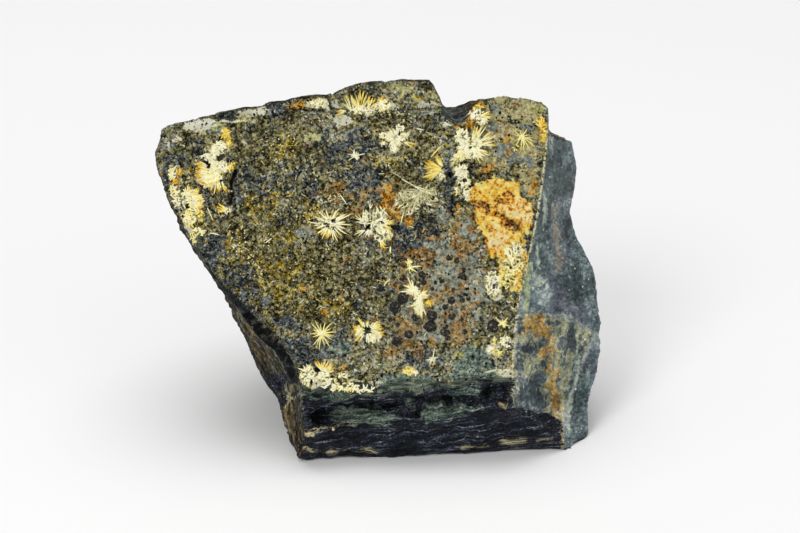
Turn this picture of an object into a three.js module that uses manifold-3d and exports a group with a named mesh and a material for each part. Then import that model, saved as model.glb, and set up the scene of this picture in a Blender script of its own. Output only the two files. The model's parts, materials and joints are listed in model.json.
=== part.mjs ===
// A braunite specimen: one foliated stone whose flat face carries sprays of needle crystals.
//
// The stone is drawn on its decorated face: x runs right across the face, y runs up it and z points
// out of it. The whole specimen is then leaned back so that it stands on its broken lower end.
// All sizes are in millimetres.
import * as THREE from "three";
import { mergeVertices } from "three/addons/utils/BufferGeometryUtils.js";
import Module from "manifold-3d";

const LEAN = THREE.MathUtils.degToRad(28); // how far the decorated face leans back
const STANDING_HEIGHT = 34.15; // from the resting surface up to the middle of the face
const BELLY_DEPTH = 14; // where the sides are widest, behind the face
const BACK_DEPTH = 36; // the back of the stone, behind the face
const BACK_WIDTH = 0.88; // the back outline against the belly outline
const BACK_HEIGHT = 0.78;
const BACK_DROP = 2;
const LEDGE_STEP = 1.6; // the ledge along the top lies this far behind the face
const RECESS_DEPTH = 4.6; // the undercut below the face, at the left
const SHALLOW_RECESS_DEPTH = 2.2; // and where it runs out, at the right
const SLIT_DEPTH = 8; // the dark slit between the face and the left side
const IN_FRONT = 2; // cutters start this far in front of the face
const SPRAY_GAP = 0.3; // air between the stone and a spray
const SPRAY_HEIGHT = 0.9;
const SPRAY_TIPS = 11; // points of a spray's star outline
const SPRAY_VALLEY = 0.6; // radius between two tips
const CUTTER_SIZE = 200;

// The stone's corners, anticlockwise from the upper left: x, y on the decorated face, then x, y of
// the same corner at the belly, where the stone is widest.
const CORNERS = [
  // down the left side
  [-43.3, 25.2, -42.0, 24.0],
  [-44.2, 21.0, -43.2, 19.5],
  [-44.2, 18.7, -43.4, 16.5],
  [-42.4, 12.9, -42.2, 11.5],
  [-40.0, 8.6, -40.4, 7.6],
  [-37.6, 4.2, -37.9, 3.4],
  [-34.7, -0.1, -35.3, -0.8],
  [-31.5, -3.8, -33.3, -4.2],
  [-28.3, -6.4, -31.4, -8.0],
  [-24.7, -9.7, -29.8, -12.0],
  [-21.4, -13.0, -28.4, -15.0],
  [-19.8, -15.7, -26.6, -18.0],
  [-18.7, -18.3, -25.0, -20.6],
  [-17.8, -21.8, -23.2, -23.6],
  [-17.6, -24.5, -22.1, -26.4],
  [-17.5, -27.0, -21.2, -29.3],
  // along the lower lip, from where the broken lower end slopes back
  [-17.6, -29.9, -19.8, -40.4],
  [-14.4, -28.9, -14.5, -40.6],
  [-9.9, -28.3, -9.9, -40.8],
  [-3.6, -27.2, -3.6, -41.0],
  [0.0, -26.9, 0.0, -41.0],
  [5.4, -26.3, 5.6, -40.0],
  [12.6, -25.3, 13.0, -39.4],
  [18.0, -24.4, 22.0, -36.8],
  // up the smooth right side
  [20.2, -24.6, 34.6, -36.0],
  [20.6, -18.6, 35.1, -24.7],
  [20.3, -15.0, 36.4, -19.5],
  [20.8, -11.4, 36.9, -14.8],
  [21.2, -7.7, 37.3, -9.5],
  [22.3, -3.3, 36.5, -3.8],
  [23.4, 1.2, 36.2, 0.5],
  [24.0, 4.5, 35.0, 2.6],
  [24.7, 7.5, 32.8, 6.8],
  [25.4, 12.0, 31.8, 11.0],
  [26.0, 15.5, 32.7, 15.5],
  [26.5, 19.2, 33.1, 19.5],
  [26.9, 23.8, 32.1, 24.4],
  [26.8, 29.2, 27.8, 26.0],
  // along the top, over the right block, the notch and the ledge
  [25.5, 30.1, 25.0, 27.0],
  [23.5, 30.6, 22.5, 28.0],
  [19.0, 30.9, 18.5, 28.8],
  [14.5, 30.5, 15.2, 31.3],
  [13.0, 28.7, 13.2, 31.3],
  [11.9, 26.9, 12.0, 31.0],
  [10.5, 26.1, 10.4, 30.6],
  [8.3, 26.9, 8.7, 30.6],
  [7.8, 28.9, 7.9, 31.2],
  [7.2, 30.7, 7.3, 32.2],
  [6.0, 33.2, 6.2, 33.8],
  [5.1, 34.2, 5.2, 34.8],
  [0.0, 34.3, 0.0, 34.8],
  [-5.4, 33.5, -5.4, 34.0],
  [-10.5, 32.2, -10.4, 32.8],
  [-13.0, 31.2, -13.0, 31.6],
  [-18.1, 30.7, -18.0, 30.6],
  [-23.5, 29.9, -23.0, 28.6],
  [-25.7, 29.2, -25.5, 28.0],
  [-32.5, 28.0, -32.0, 27.0],
  [-37.9, 26.6, -37.0, 25.6],
  [-41.0, 26.0, -40.0, 25.0],
];

// The ledge along the top, behind the step line that ends the decorated face.
const LEDGE_OUTLINE = [[-12.4, 28.2], [-1.4, 28.3], [8.2, 28.8], [8.6, 36.0], [-14.5, 36.0]];

// The undercut between the face and the lower lip: its roof, then back along its floor.
const RECESS_OUTLINE = [
  [-16.3, -29.2], [-14.4, -28.6], [-9.9, -28.0], [-3.6, -26.9], [0.0, -26.6], [8.8, -25.5],
  [8.3, -23.6], [2.8, -23.8], [-3.8, -24.3], [-11.5, -24.7], [-14.2, -25.2], [-16.2, -26.3],
];
const SHALLOW_RECESS_OUTLINE = [
  [7.0, -25.8], [12.6, -25.0], [18.0, -24.1], [19.2, -23.9], [18.9, -21.0], [16.3, -21.5],
  [14.2, -22.6], [11.2, -23.0], [7.0, -23.7],
];

// The slit that follows the face's lower left edge.
const SLIT_OUTLINE = [
  [-31.7, -3.9], [-27.8, -8.9], [-25.1, -12.5], [-22.0, -15.2], [-20.6, -17.1], [-20.2, -20.2],
  [-19.2, -20.0], [-18.9, -18.3], [-19.9, -15.8], [-21.5, -13.1], [-24.8, -9.8], [-28.4, -6.5],
];

// Planes that break off the hidden edges of the back: the outward direction and the plane's distance
// from the middle of the face.
const BACK_BREAKS = [
  { outward: [0.1, 0.72, -0.68], distance: 36 },
  { outward: [-0.78, 0.12, -0.62], distance: 42 },
  { outward: [0.72, 0.3, -0.62], distance: 41 },
  { outward: [0.25, -0.12, -0.96], distance: 39 },
  { outward: [-0.7, -0.3, -0.65], distance: 38 },
];

// Every spray: the centre x, y of each cluster of needles, and how far its needles reach sideways
// and upwards. A spray with two clusters has grown together into one piece.
const SPRAYS = {
  spray_upper_left: [[-33.8, 16.9, 3.6, 4.0]],
  spray_left_edge: [[-37.8, 12.3, 2.7, 2.7], [-38.0, 9.3, 1.5, 2.0]],
  spray_left_rim: [[-40.1, 16.8, 1.3, 1.8]],
  spray_left_small: [[-31.9, 10.5, 1.3, 1.3]],
  spray_streak: [[-31.3, 23.5, 0.9, 2.2]],
  spray_top_fan: [[-7.7, 29.4, 2.9, 2.9], [-4.0, 28.9, 2.0, 1.6]],
  spray_top_rim: [[-14.6, 29.6, 2.0, 1.2]],
  spray_small_star: [[-8.1, 19.9, 1.3, 1.3]],
  spray_top_mid: [[-0.7, 23.1, 3.1, 2.9]],
  spray_gold_fan: [[6.3, 17.4, 2.7, 2.7]],
  spray_upper_right: [[12.8, 22.2, 3.4, 3.4]],
  spray_notch: [[13.7, 27.5, 1.6, 1.5]],
  spray_thin_star: [[22.1, 23.0, 2.4, 2.5]],
  spray_corner: [[25.3, 25.7, 1.1, 2.4]],
  spray_upright_patch: [[11.3, 15.8, 0.9, 2.7]],
  spray_olive: [[2.9, 12.3, 3.2, 3.2]],
  spray_centre_left: [[-12.4, 7.7, 3.6, 3.6]],
  spray_centre_right: [[-4.3, 6.8, 3.7, 3.7]],
  spray_mid_star: [[1.8, 0.1, 1.5, 1.5]],
  spray_mid_long: [[3.1, -5.7, 2.6, 3.8]],
  spray_right_edge: [[17.0, -2.8, 2.3, 2.6], [20.2, 0.6, 2.8, 3.2]],
  spray_clean_star: [[-14.0, -12.0, 2.6, 2.6]],
  spray_dark_eye: [[-5.6, -11.6, 3.1, 3.1]],
  spray_lower_left: [[-14.4, -18.6, 3.1, 3.0], [-9.4, -21.0, 4.6, 1.6]],
  spray_tall_needle: [[6.1, -16.5, 1.1, 1.6]],
  spray_low_gold: [[2.0, -18.6, 1.3, 1.3]],
  spray_right_small: [[18.7, -10.0, 1.4, 1.4]],
  spray_right_patch: [[18.2, -14.0, 2.0, 2.1]],
};

const stoneMaterial = new THREE.MeshStandardMaterial({ color: 0x4c4d42, roughness: 0.85, metalness: 0 });
const needleMaterial = new THREE.MeshStandardMaterial({ color: 0xe6d896, roughness: 0.55, metalness: 0 });

const wasm = await Module();
wasm.setup();

// Keeps only the positions, shared between the triangles that meet at a corner.
function welded(geometry) {
  const bare = geometry.clone();
  bare.deleteAttribute("normal");
  bare.deleteAttribute("uv");
  return mergeVertices(bare);
}

function toSolid(geometry) {
  const closed = welded(geometry);
  return new wasm.Manifold(new wasm.Mesh({
    numProp: 3,
    vertProperties: new Float32Array(closed.attributes.position.array),
    triVerts: new Uint32Array(closed.index.array),
  }));
}

function toGeometry(solid) {
  const result = solid.getMesh();
  const geometry = new THREE.BufferGeometry();
  geometry.setAttribute("position", new THREE.BufferAttribute(result.vertProperties, 3));
  geometry.setIndex(new THREE.BufferAttribute(result.triVerts, 1));
  geometry.computeVertexNormals();
  return geometry;
}

// A closed solid through rings of corners, from the front ring to the back one. The rings have the
// same number of corners and run anticlockwise as seen from the front.
function loft(rings) {
  const count = rings[0].length;
  const last = rings.length - 1;
  const flat = (ring) => ring.map(([x, y]) => new THREE.Vector2(x, y));
  const cap = (ring) => THREE.ShapeUtils.triangulateShape(flat(ring), []);
  const faces = [];
  for (const [a, b, c] of cap(rings[0])) {
    faces.push(a, b, c);
  }
  for (const [a, b, c] of cap(rings[last])) {
    faces.push(last * count + a, last * count + c, last * count + b);
  }
  for (let ring = 0; ring < last; ring += 1) {
    for (let corner = 0; corner < count; corner += 1) {
      const next = (corner + 1) % count;
      const near = ring * count;
      const far = near + count;
      faces.push(near + corner, far + corner, far + next);
      faces.push(near + corner, far + next, near + next);
    }
  }
  const geometry = new THREE.BufferGeometry();
  geometry.setAttribute("position", new THREE.Float32BufferAttribute(rings.flat(2), 3));
  geometry.setIndex(faces);
  return geometry;
}

// A straight cutter of the given outline, from in front of the face down to a depth behind it.
function pocket(outline, depth) {
  const shape = new THREE.Shape(outline.map(([x, y]) => new THREE.Vector2(x, y)));
  const geometry = new THREE.ExtrudeGeometry(shape, { depth: depth + IN_FRONT, bevelEnabled: false });
  return toSolid(geometry.translate(0, 0, -depth));
}

// A cutter that takes away everything beyond a plane.
function beyondPlane(outward, distance) {
  const direction = new THREE.Vector3(...outward).normalize();
  const turn = new THREE.Quaternion().setFromUnitVectors(new THREE.Vector3(0, 0, 1), direction);
  const geometry = new THREE.BoxGeometry(CUTTER_SIZE, CUTTER_SIZE, CUTTER_SIZE);
  geometry.translate(0, 0, CUTTER_SIZE / 2 + distance);
  geometry.applyQuaternion(turn);
  return toSolid(geometry);
}

function block() {
  const face = CORNERS.map(([x, y]) => [x, y, 0]);
  const belly = CORNERS.map(([, , x, y]) => [x, y, -BELLY_DEPTH]);
  const back = belly.map(([x, y]) => [x * BACK_WIDTH, y * BACK_HEIGHT - BACK_DROP, -BACK_DEPTH]);
  return toSolid(loft([face, belly, back]));
}

function stone() {
  let solid = block();
  for (const { outward, distance } of BACK_BREAKS) {
    solid = solid.subtract(beyondPlane(outward, distance));
  }
  solid = solid.subtract(pocket(LEDGE_OUTLINE, LEDGE_STEP));
  solid = solid.subtract(pocket(RECESS_OUTLINE, RECESS_DEPTH));
  solid = solid.subtract(pocket(SHALLOW_RECESS_OUTLINE, SHALLOW_RECESS_DEPTH));
  solid = solid.subtract(pocket(SLIT_OUTLINE, SLIT_DEPTH));
  const down = [0, -Math.cos(LEAN), -Math.sin(LEAN)];
  return solid.subtract(beyondPlane(down, STANDING_HEIGHT));
}

// One cluster of needles: a low cone with a star outline that reaches the needles' tips.
function cluster(x, y, reachX, reachY) {
  const points = 2 * SPRAY_TIPS;
  const geometry = new THREE.ConeGeometry(1, SPRAY_HEIGHT, points);
  geometry.translate(0, SPRAY_HEIGHT / 2, 0);
  const position = geometry.attributes.position;
  for (let i = 0; i < position.count; i += 1) {
    const angle = Math.atan2(position.getX(i), position.getZ(i));
    const isValley = Math.abs(Math.round((angle / (2 * Math.PI)) * points)) % 2 === 1;
    const reach = isValley ? SPRAY_VALLEY : 1;
    position.setX(i, position.getX(i) * reach * reachX);
    position.setZ(i, position.getZ(i) * reach * reachY);
  }
  return toSolid(geometry.rotateX(Math.PI / 2).translate(x, y, SPRAY_GAP));
}

function spray(clusters) {
  return clusters.map((reach) => cluster(...reach)).reduce((whole, next) => whole.add(next));
}

function named(name, solid, material) {
  const mesh = new THREE.Mesh(toGeometry(solid), material.clone());
  mesh.name = name;
  return mesh;
}

// Stands the group on the ground, with the origin below the middle of its box.
function stand(group) {
  const leaning = new THREE.Group();
  leaning.rotation.x = Math.PI / 2 - LEAN;
  leaning.add(group);
  const standing = new THREE.Group();
  standing.add(leaning);
  const box = new THREE.Box3().setFromObject(standing, true);
  const middle = box.getCenter(new THREE.Vector3());
  leaning.position.set(-middle.x, -middle.y, -box.min.z);
  return standing;
}

const pieces = new THREE.Group();
pieces.add(named("rock", stone(), stoneMaterial));
for (const [name, clusters] of Object.entries(SPRAYS)) {
  pieces.add(named(name, spray(clusters), needleMaterial));
}

export default stand(pieces);
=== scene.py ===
"""A braunite specimen: a dark foliated stone whose flat face carries sprays of needle crystals.

The stone is described in the axes of its decorated face, in millimetres: u runs right across the
face, v up it and w out of it. Blender's objects are in metres, in the part's own frame.
"""

import json
import math
import random
from collections import namedtuple

import bmesh
import bpy
import numpy as np
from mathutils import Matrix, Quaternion, Vector, noise
from mathutils.bvhtree import BVHTree


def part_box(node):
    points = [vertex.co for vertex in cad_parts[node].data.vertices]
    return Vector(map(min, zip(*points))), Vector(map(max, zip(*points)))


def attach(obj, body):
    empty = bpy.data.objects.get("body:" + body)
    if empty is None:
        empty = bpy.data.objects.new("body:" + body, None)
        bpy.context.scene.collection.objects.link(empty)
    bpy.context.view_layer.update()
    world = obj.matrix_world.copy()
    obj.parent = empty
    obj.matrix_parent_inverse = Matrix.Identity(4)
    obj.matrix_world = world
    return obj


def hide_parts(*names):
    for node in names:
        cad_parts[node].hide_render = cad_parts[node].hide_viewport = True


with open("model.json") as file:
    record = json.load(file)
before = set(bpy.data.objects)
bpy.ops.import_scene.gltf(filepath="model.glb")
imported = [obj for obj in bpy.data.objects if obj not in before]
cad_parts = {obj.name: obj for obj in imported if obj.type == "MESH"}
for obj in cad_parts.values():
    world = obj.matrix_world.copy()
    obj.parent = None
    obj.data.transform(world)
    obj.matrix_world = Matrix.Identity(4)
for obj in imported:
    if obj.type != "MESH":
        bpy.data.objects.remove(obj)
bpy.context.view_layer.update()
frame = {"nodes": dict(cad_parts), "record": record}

# ---------------------------------------------------------------- the face's own axes

MM = 0.001
LEAN = math.radians(28)  # how far the decorated face leans back
LEFT_REACH = 44.2  # from the middle of the face to its leftmost corner
LIP_DROP = 29.9  # from the middle of the face down to the lower lip, which is nearest the front
STANDING_HEIGHT = 34.15  # from the ground to the middle of the face

ROCK_LOW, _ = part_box("rock")
FACE_MIDDLE = np.array([
    ROCK_LOW.x + LEFT_REACH * MM,
    ROCK_LOW.y + LIP_DROP * math.sin(LEAN) * MM,
    STANDING_HEIGHT * MM,
])
FACE_AXES = np.array([
    [1.0, 0.0, 0.0],
    [0.0, math.sin(LEAN), math.cos(LEAN)],
    [0.0, -math.cos(LEAN), math.sin(LEAN)],
])


def to_face(points):
    """Points of the part's frame, in metres, as u, v, w in millimetres."""
    return (np.asarray(points) - FACE_MIDDLE) @ FACE_AXES.T / MM


def to_world(points):
    """u, v, w in millimetres as points of the part's frame, in metres."""
    return np.asarray(points) @ FACE_AXES * MM + FACE_MIDDLE


# ---------------------------------------------------------------- fields over the stone

def fractal(points, size, octaves=4, roughness=1.0, offset=0.0):
    """Fractal noise, about -1 to 1, whose largest lumps are size millimetres apart.

    Each offset makes a noise of its own.
    """
    scaled = points / np.asarray(size) + offset
    return np.array([noise.fractal(Vector(p), roughness, 2.0, octaves) for p in scaled])


def smoothstep(low, high, value):
    """0 where the value is beyond low, 1 where it is beyond high, and smooth between them."""
    t = np.clip((value - low) / (high - low), 0.0, 1.0)
    return t * t * (3 - 2 * t)


def distance_to_line(points, line):
    """Distance in the face's plane from each point to a polyline."""
    nearest = np.full(len(points), 1e9)
    for a, b in zip(line[:-1], line[1:]):
        a, b = np.array(a), np.array(b)
        along = np.clip(((points - a) @ (b - a)) / ((b - a) @ (b - a)), 0, 1)
        nearest = np.minimum(nearest, np.linalg.norm(points - a - along[:, None] * (b - a), axis=1))
    return nearest


def near(distance, width):
    """1 at a distance of nought, fading away over the width."""
    return np.exp(-((distance / width) ** 2))


def height_of(line, u):
    """The v of a line that runs across the face, at each u."""
    return np.interp(u, [p[0] for p in line], [p[1] for p in line])


def patch_field(points, patches):
    """How far each point is inside the patches: 1 in a patch's middle, 0.5 on its edge, 0 outside."""
    field = np.zeros(len(points))
    for u, v, reach_u, reach_v in patches:
        distance = np.hypot((points[:, 0] - u) / reach_u, (points[:, 1] - v) / reach_v)
        field = np.maximum(field, smoothstep(1.45, 0.55, distance))
    return field


def outline_field(points, outline, soft):
    """1 well inside a closed outline on the face, 0.5 on it and 0 outside, over a soft edge."""
    inside = np.zeros(len(points), bool)
    for (u0, v0), (u1, v1) in zip(outline, outline[1:] + outline[:1]):
        if v0 != v1:
            crosses = (points[:, 1] < v0) != (points[:, 1] < v1)
            inside ^= crosses & (points[:, 0] < u0 + (points[:, 1] - v0) * (u1 - u0) / (v1 - v0))
    distance = distance_to_line(points[:, :2], outline + outline[:1])
    return smoothstep(-soft, soft, np.where(inside, distance, -distance))


# Lines of the decorated face.
FACE_FOOT = [(-20, -22.4), (-17.5, -22.6), (-11, -22.9), (-4.5, -23), (1, -22.2), (7.2, -21), (22, -20)]
TOP_BEVEL = [
    (-44, 24), (-40, 25.3), (-32, 26), (-27, 26.3), (-26, 27.5), (-22, 27.6), (-18, 28.6), (-13.4, 28.2),
]
CRACKS = [  # the line, its width and its depth
    ([(-29.6, 17.4), (-30.5, 15.4), (-30.3, 12.6), (-30.6, 11.2)], 0.36, 1),
    ([(-29.9, 25.2), (-29.2, 21.5), (-29.6, 17.4)], 0.18, 0.6),
    ([(-30.6, 11.2), (-31, 7)], 0.16, 0.5),
    ([(9, 16.9), (9.4, 15)], 0.32, 1),
    ([(9.5, 12.9), (9.2, 10.4), (9.9, 8.6)], 0.26, 0.8),
    ([(13.4, 11.6), (15.4, 10.8), (17.3, 10.1), (18.9, 8.8), (20, 8), (21.5, 6.8)], 0.4, 0.6),
    ([(12.8, 17.9), (14, 17), (15.6, 16.5), (17.6, 16.6), (18.6, 16.1)], 0.18, 0.6),
    ([(-16, 18), (-15.1, 18.5), (-11, 18.6), (-3.6, 17.9), (-1.2, 17)], 0.16, 0.4),
    ([(-19.3, 25.1), (-15, 25), (-12.4, 24.2)], 0.16, 0.4),
    ([(-29, 28.3), (-25, 26.6), (-18.5, 28.4), (-12.6, 28)], 0.2, 0.6),
    ([(-1.4, 28.5), (3, 28.5), (6.8, 28.2)], 0.26, 0.7),
    ([(-5.8, 10.4), (-5.4, 8.6), (-5.9, 6.9)], 0.32, 0.8),
    ([(20.6, 16.6), (21.4, 13.6), (22.4, 12.2)], 0.16, 0.5),
]
RIGHT_EDGE = [(26.6, 24.5), (25.7, 15.5), (24.4, 7.5), (22.1, -3.3), (21, -7.7), (20.3, -15), (20.2, -24)]
RIDGE = [(20, -7.4), (22.1, -7.6), (27.2, -8.6), (32.9, -9.8), (38, -12.8)]
PILLAR_EDGE = [(36, -12), (33.6, -16.5), (32.3, -21), (31, -24.7), (29.9, -28), (29.9, -34)]
# Pale lines along the edges and rims: painted highlights where an edge catches the light, partly pale seams
# of the stone.
PALE_LINES_AND_HIGHLIGHTS = [  # the line and its width
    (RIDGE, 0.22), (PILLAR_EDGE, 0.35), (RIGHT_EDGE, 0.2),
    ([(-40.9, 22.4), (-39.5, 22.9)], 0.16),
    ([(-36.9, 24.4), (-35, 25), (-33.3, 25.6)], 0.26),
    ([(-32.4, 26.4), (-30.2, 26.2), (-28.1, 26.5)], 0.22),
    ([(-29.5, 27.2), (-26.5, 28), (-24.5, 28.4)], 0.22),
    ([(2.6, 28.9), (5.4, 29.1), (7, 29.3)], 0.2),
    ([(15.6, -19), (17.6, -18.6), (19.8, -18.8)], 0.24),
    ([(-9, -20.4), (-5.4, -20.9), (-3, -20.8)], 0.2),
    ([(-17.5, -33), (-14, -33.6), (-11.5, -33.8)], 0.3),
    ([(-9.9, -33.6), (-4.5, -33.5)], 0.25),
    ([(11.4, -33), (13, -32.6), (16, -32.3)], 0.26),
    ([(18.6, -31.6), (20.5, -31.8), (22.8, -31.3)], 0.36),
    ([(25.2, -31.5), (26.4, -31.2), (27.6, -31.2)], 0.24),
    ([(-18, -29.9), (-14, -29.2), (-7.7, -28.6)], 0.28),
]
PANEL_FOOT = [(19, -24.3), (20.2, -24.7), (26, -26), (29.9, -28), (31, -40)]
# The line of the narrow groove in the left side, along which painted shadow is laid.
SLIT = [(-31.7, -3.6), (-28.6, -7.4), (-24.9, -11.4), (-22.1, -14.2), (-20.2, -17.4), (-19.4, -20.4)]

CRUST_OUTLINE = [
    (14.5, 15.5), (13, 13.8), (12.2, 11.8), (13.4, 10.6), (14.2, 8.8), (14.5, 7.1), (15.1, 4.2),
    (15.2, 2.4), (17.8, 0.8), (18.6, -1.6), (19.6, -4.6), (21.8, -4.2), (22.6, 0), (21.8, 3.4), (21.4, 6.4),
    (23.2, 5.6), (23.9, 8.8), (24.3, 11.1), (22.1, 12.3), (21.5, 13.4), (21.1, 14.9), (17.6, 15.9),
]

# Patches of colour: u, v, then how far they reach sideways and upwards. First those of the decorated face.
PATCHES = {
    "warm": [(-22, 0, 14, 9), (-22, 22, 9, 4), (-4, 21, 9, 4), (2, 14, 4, 3), (-18, -10, 7, 4)],
    "gold": [
        (-29.5, 4.2, 1.8, 3.4), (-24.8, -0.6, 2.4, 2.6), (-21.6, 5.1, 3.6, 1.8), (-21, -2.4, 6, 5),
        (-12, -7, 3, 2), (-2, 19.2, 1.8, 1.6), (-21, 21.5, 2.4, 2), (-25, 12, 4, 4), (-16, 9, 2, 2),
        (3, 30.8, 2, 1), (6.2, 29.4, 1, 0.6), (-12.5, 12.2, 0.9, 0.8), (-29.2, 3.8, 1.1, 1.4),
        (-26.2, 0.8, 1.4, 1.6),
    ],
    "slate": [
        (-40.5, 19.3, 2.6, 1.8), (-41, 17, 2, 2.6), (-5.8, 14.1, 3, 3.4), (-8.5, 17.2, 2.8, 1.1),
        (-29.5, 14.5, 1, 3.8), (-27.6, 16, 1.4, 2.4), (-33, 3.9, 2.2, 3.6), (-35.8, 12.6, 1.6, 2.2),
        (-10.8, -13.2, 2, 2.2), (-13, -15.6, 3, 1.4), (-20.3, -10.5, 2, 1.4), (-25.5, -6.5, 2, 1.4),
        (-5, 4.4, 1, 2), (9, 15, 1, 6), (-26.1, 15.6, 1.8, 1.6), (-24, 13.6, 1.5, 1), (-16, 14.1, 1.6, 1.8),
        (-36, 1, 3, 6), (-9, 21, 5, 3), (-28, -4, 3, 4), (-17, -15, 5, 3), (2, 5, 4, 4),
        (-31, 27.2, 2.2, 1.2), (-22.3, 28.9, 1.8, 1.2), (9.5, 27.5, 3, 1.4), (-16, 13.5, 2, 1.6),
        (4, -16.5, 3, 1.6), (22.4, 4.5, 0.8, 1.4),
    ],
    "smooth": [
        (7.2, 3.2, 3, 2.6), (8.6, -2.8, 3.6, 4.2), (2.5, -7.6, 2.2, 2.2), (8.5, -8, 3.5, 3), (12, 0, 2, 3),
        (-17.6, 5.8, 2.2, 1.4), (14, -5, 2.4, 4), (7.6, 9.2, 1.6, 1.6), (12, 5.5, 1.4, 3.5),
        (6, -11.5, 5, 2), (-2.4, -20.2, 2.2, 1.3),
    ],
    "tan": [
        (-10.5, 0.9, 2.4, 1), (1.4, -11, 1.8, 1.6), (10.8, -11.4, 2, 2), (-1.8, -15.4, 1.8, 1.4),
        (5.4, -0.6, 1.1, 1.7), (-11.7, 13.8, 1.8, 2), (11, -3, 0.8, 2), (10.5, 4, 1.4, 0.8),
        (13, -7.6, 1.6, 1.2), (7.7, -9.2, 1.1, 1.1), (9.9, -13.6, 1.6, 0.6), (-0.4, 11.1, 2.4, 2.2),
        (24.4, 14.7, 0.6, 1.4),
    ],
    "umber": [
        (7, -3, 8, 10), (13, 5, 3, 7), (1, -12, 8, 4), (-4, 10, 6, 6), (19.4, 22.6, 0.8, 3.4),
        (23.6, 15.4, 0.6, 2.6),
    ],
    "bright": [
        (-36, 25.4, 5, 2), (-27, 27.8, 5, 1.4), (-12, 28.6, 6, 2), (3, 30.6, 6, 2.4), (-12, 24.6, 7, 2.2),
        (8, 20, 4, 4), (-5, -15.5, 9, 4), (13, 5, 3, 6), (16, -16, 4, 3), (-2, 22, 6, 3), (4, -19, 12, 2.4),
        (11, -3, 5, 8),
    ],
    "teal": [
        (12.6, -16.8, 4.4, 2.2), (1.4, -20.5, 7, 1.2), (-5, -21.8, 4, 0.9), (14, -19.5, 6, 1.6),
        (-34, 24.6, 2, 1), (-10.5, -14.6, 2, 1.4),
    ],
    "rust": [
        (-0.4, 11.1, 3, 2.6), (1.3, 8.9, 1.6, 1.6), (-2.7, 13.6, 1.3, 1.5), (12.2, 26.8, 1.9, 1.7),
        (23.9, 14.6, 0.7, 1.6), (10.6, 24.6, 0.8, 0.8), (17.6, 26.2, 0.6, 0.6), (13.2, 12.6, 0.7, 1.2),
        (-10.4, -18.3, 0.8, 0.8), (19.3, 22.8, 0.7, 0.9), (-18.5, 29.2, 2.2, 0.8), (14.3, 29.2, 1.2, 0.7),
        (10.2, 10, 0.8, 1.6), (15.4, 17.8, 2.1, 0.9), (9.5, 1.3, 0.8, 0.6), (-17.6, -3.9, 0.7, 0.6),
        (-13.5, -8.2, 0.9, 0.6), (-11.3, -6.4, 0.6, 0.6),
    ],
    "block": [(20, 28, 7, 4), (21.5, 22, 6, 6), (23.4, 16, 2.6, 4), (18, 19, 4, 1.8)],
    "bluish": [
        (16.8, 25.1, 1.8, 1.6), (20.7, 19.4, 2.4, 1.6), (18.8, 20.8, 1.4, 1.8), (22.6, 13.4, 1.4, 1),
        (22.6, 24.4, 1, 1.6), (17.4, 28.4, 1.4, 0.9), (23.6, 18.8, 0.8, 2.4),
    ],
    "cream": [
        (-37.2, 25.6, 2.2, 1.1), (-34.6, 26.2, 1.6, 0.8), (-27.6, 27.9, 1.6, 0.5), (-25, 28.6, 1.4, 0.4),
        (-2, 29, 1.4, 0.8), (-12.6, 29.2, 1.4, 1), (5, 29.2, 2, 0.4), (-10.5, 26.5, 1.5, 0.9),
        (-15.2, 29.5, 1.6, 0.9), (-40.6, 22.6, 1.6, 0.4), (19, -19.3, 1.8, 0.7), (16.6, -14.8, 1.4, 1.2),
        (-15.3, -20.5, 2.4, 1.2), (-8, -21.6, 4, 0.7), (8.6, 25.6, 0.8, 0.5), (11.4, 15, 0.7, 2.4),
        (20.6, 1.8, 1.4, 2.6), (-33.4, 19.6, 1.6, 1.2), (-38.3, 8, 0.9, 2.4), (17, -4.2, 1, 2),
        (-40.2, 15.5, 0.6, 2), (4.4, 29, 1.2, 0.3),
    ],
    "lime": [
        (24.6, 28.8, 2.2, 1.4), (6.3, 30.6, 1.2, 1), (-35, 24.9, 2.6, 0.8), (-32.4, 25.6, 1.6, 0.7),
        (-28, 26.6, 2.4, 0.7), (10.3, -16.1, 1.8, 1), (6.8, 28, 0.5, 1.6), (-12, 27, 2, 0.6),
        (0.5, 32, 3, 1), (-15.5, 23.4, 2, 1),
    ],
    # painted shade along the crust's folds, on their shaded side
    "fold_shade": [
        (14.6, 10.6, 1.9, 0.9), (17.6, 9.4, 1.7, 0.9), (20.2, 7.4, 1.6, 0.9), (14.7, 4, 0.8, 1.8),
        (18.9, 12.2, 1.7, 0.7), (18, -1.6, 0.9, 1.4),
    ],
    "pink": [(20.9, 10.2, 3, 2), (17.4, 5, 1.9, 2.4)],
}

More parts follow.
